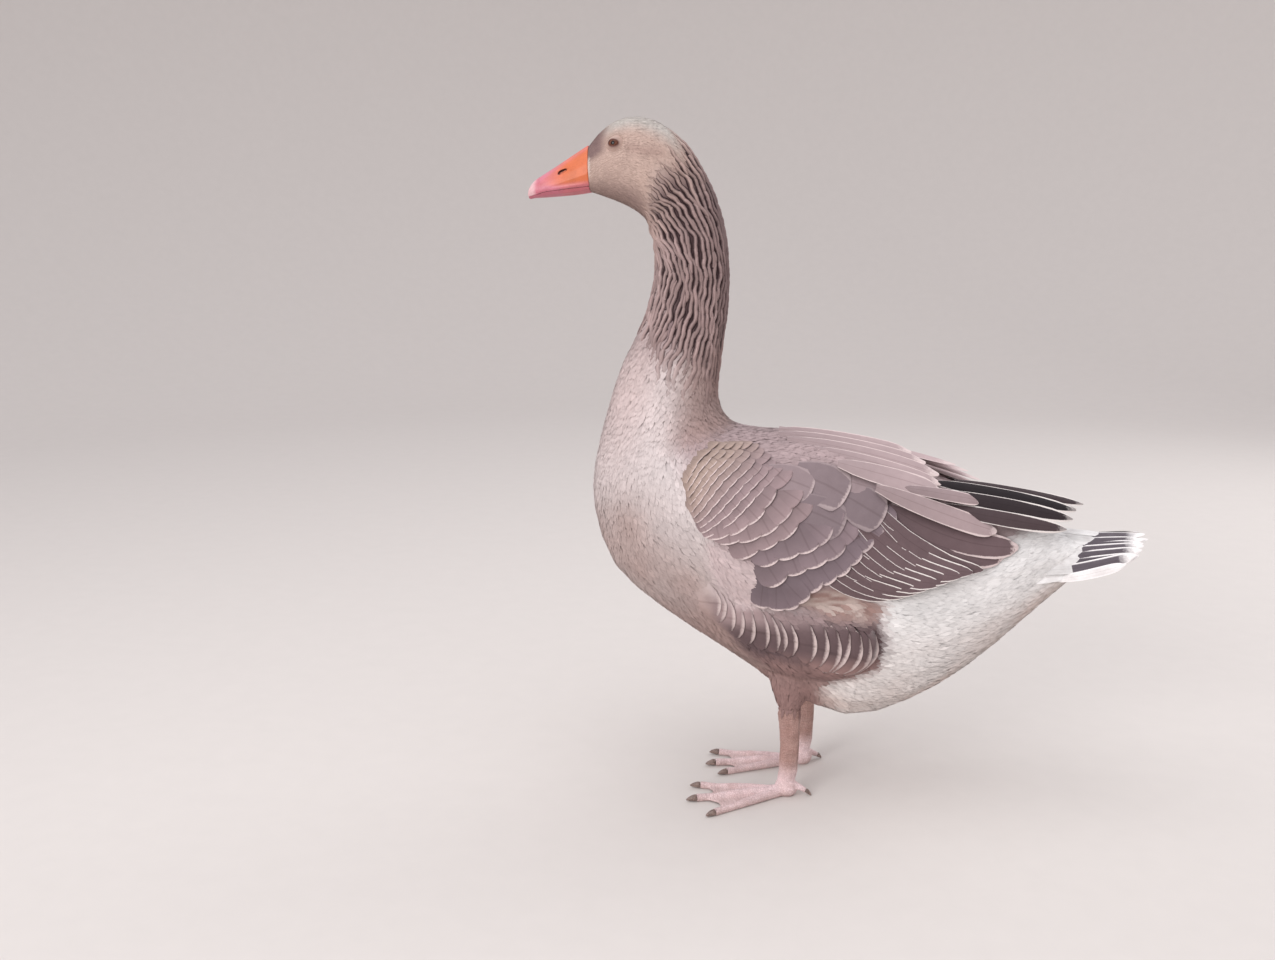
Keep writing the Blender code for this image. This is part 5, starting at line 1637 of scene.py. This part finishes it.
def eye_finish(centre, axis, side):
    """A wet brown iris with fine spokes round a dark pupil."""
    material, tree, shader = new_finish(f"eye_{side}")
    from_centre = vector_sum(tree, "SUBTRACT", object_place(tree), tuple(centre))
    off_axis = vector_sum(tree, "CROSS_PRODUCT", from_centre, tuple(axis))
    radius = vector_sum(tree, "LENGTH", off_axis, output="Value")
    spokes = noise(tree, 900.0, 4.0, 0.6)
    iris = blend_colours(tree, stretch(tree, spokes, 0.3, 0.7), tone(74, 44, 34), tone(122, 78, 62))
    pupil = stretch(tree, radius, PUPIL * 0.92, PUPIL * 1.08)
    rim = stretch(tree, radius, IRIS * 0.86, IRIS * 1.05)
    colour = blend_colours(tree, pupil, tone(10, 8, 8), iris)
    colour = blend_colours(tree, rim, colour, tone(24, 16, 14))
    coloured(tree, shader, colour, 0.06, 0.25)
    return material


def lid_finish():
    """Bare lid skin, dark at its rim and the coat's colour where it meets the feathers."""
    material, tree, shader = new_finish("eyelid_skin")
    tint = attribute(tree, "tint")
    folds = noise(tree, 750.0, 5.0, 0.6)
    colour = darken(tree, stretch(tree, folds, 0.3, 0.7, 0.0, 0.5), tint, (0.7, 0.62, 0.6))
    coloured(tree, shader, colour, 0.6)
    bumped(tree, shader, folds, 0.0003)
    return material


def build_eyes(colours):
    surface = body_surface()
    lids = lid_finish()
    for side in SIDES:
        low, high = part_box(f"eye_{side}")
        centre = np.array((low + high) / 2)
        radius = (high - low).x / 2
        axis = eye_axis(side)
        up = unit(np.array([0.0, 0.0, 1.0]) - axis * axis[2])
        fore = np.cross(up, axis) * (1 if SIDES[side] > 0 else -1)
        eye = bmesh.new()
        bmesh.ops.create_uvsphere(eye, u_segments=48, v_segments=32, radius=radius * EYEBALL_SHARE)
        mesh = bpy.data.meshes.new(f"eyeball_{side}")
        eye.to_mesh(mesh)
        eye.free()
        mesh.transform(facing_matrix(axis, centre))
        smooth_shaded(mesh)
        mesh.materials.append(eye_finish(centre, axis, side))
        settle(bpy.data.objects.new(f"eyeball_{side}", mesh), [f"eye_{side}"])
        make_lids(side, centre, radius, axis, up, fore, surface, lids, colours)


def facing_matrix(axis, centre):
    turn = Vector((0, 0, 1)).rotation_difference(Vector(axis)).to_matrix().to_4x4()
    turn.translation = Vector(centre)
    return turn


def ring_faces(rings, sides, first=0):
    """Faces between rings of points, which are numbered on from first."""
    faces = []
    for start in range(first, first + (rings - 1) * sides, sides):
        for k in range(sides):
            a, b = start + k, start + (k + 1) % sides
            faces.append((a, b, b + sides, a + sides))
    return faces


def make_lids(side, centre, radius, axis, up, fore, surface, finish, colours):
    """A soft ring from the eyeball out to the feathers, a little longer than tall."""
    turn = np.linspace(0, 2 * math.pi, LID_SEGMENTS, endpoint=False)[:, None]
    oval = lambda long, tall, middle=0.0: middle + np.cos(turn) * fore * long + np.sin(turn) * up * tall
    rings = []
    for long, tall, above in LIDS_ON_THE_EYE:
        ring = oval(long, tall)
        sit = np.sqrt(radius**2 - dot(ring, ring))
        rings.append(centre + ring + axis * (sit + above))
    for long, tall, above in LIDS_ON_THE_SKIN:
        on_skin, normals = surface.nearest(oval(long, tall, centre + axis * radius * 0.6))
        rings.append(on_skin + normals * above)
    mesh = bpy.data.meshes.new(f"eyelids_{side}")
    mesh.from_pydata(np.vstack(rings).tolist(), [], ring_faces(len(rings), LID_SEGMENTS))
    reworked(mesh, lambda made: bmesh.ops.recalc_face_normals(made, faces=made.faces))
    smooth_shaded(mesh)
    outward = np.repeat(rise(np.arange(len(rings)), 1.8, 4.8), LID_SEGMENTS)[:, None]
    set_tint(mesh, mix(colours["lid_rim"], colours["cheek"], outward))
    mesh.materials.append(finish)
    obj = bpy.data.objects.new(f"eyelids_{side}", mesh)
    subdivide = obj.modifiers.new("round", "SUBSURF")
    subdivide.levels = subdivide.render_levels = 1
    settle(obj, ())


# The studio


WALL_FROM, WALL_CURVE = 3.0, 2.0  # where the floor starts to curve up all round, and how wide that curve is
FLOOR_SIDES = 96
# Lamps: place, width, the power setting that feeds each, its share of that power, and its spread in degrees.
LAMPS = {
    "overhead": ((-0.4, -0.5, 2.6), 2.4, "overhead", 1.0, 180.0),
    "front_fill": ((-1.9, -3.1, 1.5), 2.0, "fill", 0.52, 100.0),
    "rear_fill": ((1.8, 1.6, 1.6), 1.6, "fill", 0.4, 180.0),
}
LAMP_AIM = Vector((0.0, 0.0, 0.35))
SENSOR_WIDTH = 36.0


def build_studio(settings):
    floor_mesh = bpy.data.meshes.new("studio_floor")
    climb = np.linspace(0.0, math.pi / 2, 17)
    radii = np.concatenate([[0.4, 1.2, 2.2], WALL_FROM + WALL_CURVE * np.sin(climb)])
    levels = np.concatenate([[0.0, 0.0, 0.0], WALL_CURVE * (1.0 - np.cos(climb))])
    turn = np.linspace(0, 2 * math.pi, FLOOR_SIDES, endpoint=False)
    rings = [np.stack([r * np.cos(turn), r * np.sin(turn), 0 * turn + z], 1) for r, z in zip(radii, levels)]
    points = np.vstack([[[0.0, 0.0, 0.0]], *rings])
    faces = [(0, 1 + k, 1 + (k + 1) % FLOOR_SIDES) for k in range(FLOOR_SIDES)]
    faces += [(a, d, c, b) for a, b, c, d in ring_faces(len(rings), FLOOR_SIDES, 1)]
    floor_mesh.from_pydata(points.tolist(), [], faces)
    smooth_shaded(floor_mesh)
    floor = bpy.data.objects.new("studio_floor", floor_mesh)
    bpy.context.scene.collection.objects.link(floor)
    material, tree, shader = new_finish("floor_paint")
    speckle = noise(tree, 30.0, 6.0)
    base = tuple(settings.floor)
    shaded = tuple(c * 0.8 for c in base)
    colour = blend_colours(tree, stretch(tree, speckle, 0.3, 0.7, 0.0, 0.10), base, shaded)
    coloured(tree, shader, colour, 0.9)
    floor_mesh.materials.append(material)
    world = bpy.data.worlds.new("studio")
    world.use_nodes = True
    background = world.node_tree.nodes["Background"]
    background.inputs["Color"].default_value = (*settings.sky, 1.0)
    background.inputs["Strength"].default_value = settings.sky_strength
    bpy.context.scene.world = world
    for name, (place, size, power, share, spread) in LAMPS.items():
        light = bpy.data.lights.new(name, "AREA")
        light.shape = "DISK"
        light.size = size
        light.energy = getattr(settings, power) * share
        light.spread = math.radians(spread)
        lamp = bpy.data.objects.new(name, light)
        lamp.location = place
        lamp.rotation_euler = (LAMP_AIM - Vector(place)).to_track_quat("-Z", "Y").to_euler()
        bpy.context.scene.collection.objects.link(lamp)
    camera = bpy.data.objects.new("camera", bpy.data.cameras.new("camera"))
    camera.location = settings.camera_place
    camera.rotation_euler = (math.pi / 2 - settings.camera_dip, 0.0, settings.camera_turn)
    camera.data.lens = settings.lens
    camera.data.sensor_width = SENSOR_WIDTH
    bpy.context.scene.collection.objects.link(camera)
    bpy.context.scene.camera = camera
    bpy.context.scene.view_settings.view_transform = "Standard"


# Settings


def power_setting(name, description, power):
    return FloatProperty(name=name, description=description, subtype="POWER", default=power)


def angle_setting(name, description, degrees):
    return FloatProperty(name=name, description=description, subtype="ANGLE", default=math.radians(degrees))


def colour_setting(name, description, shade):
    return FloatVectorProperty(
        name=name, description=description, subtype="COLOR", size=3, min=0.0, max=1.0, default=tone(*shade)
    )


class GoosePlumageColours(bpy.types.PropertyGroup):
    """Colours of the feathers"""

    breast: colour_setting("Breast", "Pale feathers of the breast", (209, 199, 198))
    breast_shadow: colour_setting("Low breast", "Dull patch low on the breast", (170, 149, 144))
    mantle: colour_setting("Mantle", "Back between the wings", (170, 150, 151))
    belly_grey: colour_setting("Fore belly", "Grey-brown belly ahead of the legs", (160, 136, 131))
    flank: colour_setting("Flank", "Dark flank feathers", (99, 81, 83))
    flank_front: colour_setting("Fore flank", "Flank feathers next to the breast", (158, 137, 137))
    flank_edge: colour_setting("Flank edge", "Pale edges of the flank feathers", (208, 190, 187))
    wing: colour_setting("Wing", "Wing coverts", (157, 136, 138))
    greater: colour_setting("Greater coverts", "The largest coverts", (131, 115, 121))
    wing_bend: colour_setting("Wing bend", "Small coverts at the bend of the wing", (180, 158, 148))
    side_feathers: colour_setting("Side feathers", "Breast feathers over the wing's front", (202, 184, 184))
    ochre: colour_setting("Under the wing", "Ochre feathers under the wing's edge", (160, 131, 124))
    covert_edge: colour_setting("Covert edge", "Pale edges of the coverts", (220, 202, 200))
    scapular: colour_setting("Scapulars", "Long shoulder feathers", (129, 114, 118))
    tertial: colour_setting("Tertials", "Innermost wing feathers", (184, 163, 164))
    secondary: colour_setting("Secondaries", "Secondary flight feathers", (109, 90, 93))
    primary: colour_setting("Primaries", "Primary flight feathers", (36, 28, 32))
    flight_edge: colour_setting("Flight edge", "Pale edges of the flight feathers", (236, 228, 224))
    tail: colour_setting("Tail", "Dark part of the tail feathers", (98, 90, 97))
    tail_edge: colour_setting("Tail edge", "White edges of the tail feathers", (250, 246, 245))
    white: colour_setting("White rear", "White belly, vent and tail coverts", (235, 233, 232))
    rear_stain: colour_setting("Rear stain", "Dust on the low belly", (225, 208, 201))
    thigh: colour_setting("Thighs", "Feathered thighs", (148, 119, 115))
    neck_front: colour_setting("Neck front", "Pale front of the neck", (200, 182, 180))
    collar: colour_setting("Collar", "Darker patch where the neck meets the back", (160, 134, 128))
    neck_ridge: colour_setting("Neck", "Sides of the neck", (134, 111, 112))
    nape: colour_setting("Nape", "Back of the neck", (100, 82, 84))
    # Painted highlight along the crests of the furrowed neck.
    furrow_crest: colour_setting("Furrow crests", "Ridges of the furrowed neck", (182, 158, 155))
    # Painted shade in the grooves of the furrowed neck and on the skin beneath them.
    groove: colour_setting("Furrow grooves", "Grooves of the furrowed neck", (54, 38, 40))
    cheek: colour_setting("Cheek", "Sides of the head", (191, 166, 155))
    crown: colour_setting("Crown", "Top of the head", (197, 190, 184))
    throat: colour_setting("Throat", "Under the head", (156, 132, 125))
    eye_streak: colour_setting("Eye streak", "Darker line behind the eye", (150, 122, 114))
    lore: colour_setting("Lores", "Between the eye and the bill", (132, 108, 106))
    bill_edge: colour_setting("Bill base edge", "Whitish feathers round the bill", (222, 208, 200))
    cream: colour_setting("Feather ends", "Ends of the small feathers", (226, 212, 204))


class GooseBareColours(bpy.types.PropertyGroup):
    """Colours of the bill and legs"""

    bill_orange: colour_setting("Bill", "Upper bill", (205, 106, 62))
    bill_pink: colour_setting("Bill edge", "Cutting edges and front of the bill", (201, 117, 133))
    bill_nail: colour_setting("Nail", "Nail at the bill's tip", (222, 180, 184))
    lid_rim: colour_setting("Lid rims", "Dark rims of the eyelids", (98, 62, 56))
    # Painted shade inside the nostril slits.
    nostril: colour_setting("Nostril", "Inside of the nostrils", (96, 46, 40))
    shank: colour_setting("Shank", "Bare shanks", (186, 152, 144))
    foot: colour_setting("Foot", "Toes and webs", (246, 222, 224))
    leg_dirt: colour_setting("Dust", "Dust on the soles", (180, 150, 136))


class GooseStudio(bpy.types.PropertyGroup):
    """Camera, floor and lights"""

    camera_place: FloatVectorProperty(
        name="Camera", description="Where the camera stands", subtype="TRANSLATION",
        default=(-0.017, -1.4375, 0.643),
    )
    camera_dip: angle_setting("Dip", "How far the camera looks down", 11.37)
    camera_turn: angle_setting("Turn", "How far the camera turns towards the head", 8.0)
    lens: FloatProperty(name="Lens", description="Focal length in millimetres", default=36.706, min=1.0)
    floor: colour_setting("Floor", "Colour of the floor", (214, 208, 204))
    sky: colour_setting("Surroundings", "Colour of the light from all round", (238, 236, 240))
    sky_strength: FloatProperty(
        name="Surrounding light", description="Strength of the light from all round", default=0.95
    )
    overhead: power_setting("Overhead light", "Power of the light above", 20.0)
    fill: power_setting("Fill light", "Power of the lights at the sides", 42.0)


def chosen_colours(context):
    """Every colour setting by its name, as linear light."""
    found = {}
    for group in (context.scene.goose_plumage, context.scene.goose_bare):
        for name in group.__annotations__:
            found[name] = np.array(getattr(group, name))
    return found


# Operators


class GOOSE_OT_skin(bpy.types.Operator):
    """Make the one skin of head, neck, body, thighs, shanks and feet"""

    bl_idname = "goose.skin"
    bl_label = "Skin"

    def execute(self, context):
        build_skin(chosen_colours(context))
        return {"FINISHED"}


class GOOSE_OT_bill(bpy.types.Operator):
    """Make the upper and lower bill and the nail"""

    bl_idname = "goose.bill"
    bl_label = "Bill"

    def execute(self, context):
        build_bill(chosen_colours(context))
        return {"FINISHED"}


class GOOSE_OT_eyes(bpy.types.Operator):
    """Make the eyes and their lids"""

    bl_idname = "goose.eyes"
    bl_label = "Eyes"

    def execute(self, context):
        build_eyes(chosen_colours(context))
        return {"FINISHED"}


class GOOSE_OT_claws(bpy.types.Operator):
    """Make the claws of both feet"""

    bl_idname = "goose.claws"
    bl_label = "Claws"

    def execute(self, context):
        build_claws()
        return {"FINISHED"}


class GOOSE_OT_head_coat(bpy.types.Operator):
    """Lay the tiny feathers of the head"""

    bl_idname = "goose.head_coat"
    bl_label = "Head feathers"

    def execute(self, context):
        build_head_coat(chosen_colours(context))
        return {"FINISHED"}


class GOOSE_OT_neck_coat(bpy.types.Operator):
    """Lay the furrowed and smooth feathers of the neck"""

    bl_idname = "goose.neck_coat"
    bl_label = "Neck feathers"

    def execute(self, context):
        build_neck_coat(chosen_colours(context))
        return {"FINISHED"}


class GOOSE_OT_body_coat(bpy.types.Operator):
    """Lay the feathers of the breast, back, belly, rear and thighs"""

    bl_idname = "goose.body_coat"
    bl_label = "Body feathers"

    def execute(self, context):
        build_body_coat(chosen_colours(context))
        return {"FINISHED"}


class GOOSE_OT_wings(bpy.types.Operator):
    """Lay the coverts, scapulars, tertials, secondaries and primaries of both wings"""

    bl_idname = "goose.wings"
    bl_label = "Wings"

    def execute(self, context):
        colours = chosen_colours(context)
        build_wing_coverts(colours)
        build_scapulars(colours)
        build_secondaries(colours)
        build_primaries(colours)
        return {"FINISHED"}


class GOOSE_OT_flanks(bpy.types.Operator):
    """Lay the dark, pale-edged feathers of the flanks"""

    bl_idname = "goose.flanks"
    bl_label = "Flanks"

    def execute(self, context):
        build_flanks(chosen_colours(context))
        return {"FINISHED"}


class GOOSE_OT_tail(bpy.types.Operator):
    """Fan out the tail feathers"""

    bl_idname = "goose.tail"
    bl_label = "Tail"

    def execute(self, context):
        build_tail(chosen_colours(context))
        return {"FINISHED"}


class GOOSE_OT_studio(bpy.types.Operator):
    """Set up the floor, lights and camera"""

    bl_idname = "goose.studio"
    bl_label = "Studio"

    def execute(self, context):
        build_studio(context.scene.goose_studio)
        return {"FINISHED"}


OPERATORS = (
    GOOSE_OT_skin, GOOSE_OT_bill, GOOSE_OT_eyes, GOOSE_OT_claws, GOOSE_OT_head_coat, GOOSE_OT_neck_coat,
    GOOSE_OT_body_coat, GOOSE_OT_wings, GOOSE_OT_flanks, GOOSE_OT_tail, GOOSE_OT_studio,
)


class GOOSE_PT_panel(bpy.types.Panel):
    """Everything that dresses the goose, in order"""

    bl_idname = "GOOSE_PT_panel"
    bl_label = "Grey Farm Goose"
    bl_space_type = "VIEW_3D"
    bl_region_type = "UI"
    bl_category = "Goose"

    def draw(self, context):
        for operator in OPERATORS:
            self.layout.operator(operator.bl_idname)
        for group in (context.scene.goose_plumage, context.scene.goose_bare, context.scene.goose_studio):
            box = self.layout.box()
            for name in group.__annotations__:
                box.prop(group, name)


CLASSES = (GoosePlumageColours, GooseBareColours, GooseStudio, *OPERATORS, GOOSE_PT_panel)


def register():
    for each in CLASSES:
        bpy.utils.register_class(each)
    bpy.types.Scene.goose_plumage = PointerProperty(type=GoosePlumageColours)
    bpy.types.Scene.goose_bare = PointerProperty(type=GooseBareColours)
    bpy.types.Scene.goose_studio = PointerProperty(type=GooseStudio)


def unregister():
    del bpy.types.Scene.goose_studio
    del bpy.types.Scene.goose_bare
    del bpy.types.Scene.goose_plumage
    for each in reversed(CLASSES):
        bpy.utils.unregister_class(each)


def main():
    register()
    for operator in OPERATORS:
        group, name = operator.bl_idname.split(".")
        getattr(getattr(bpy.ops, group), name)()


if __name__ == "__main__":
    main()
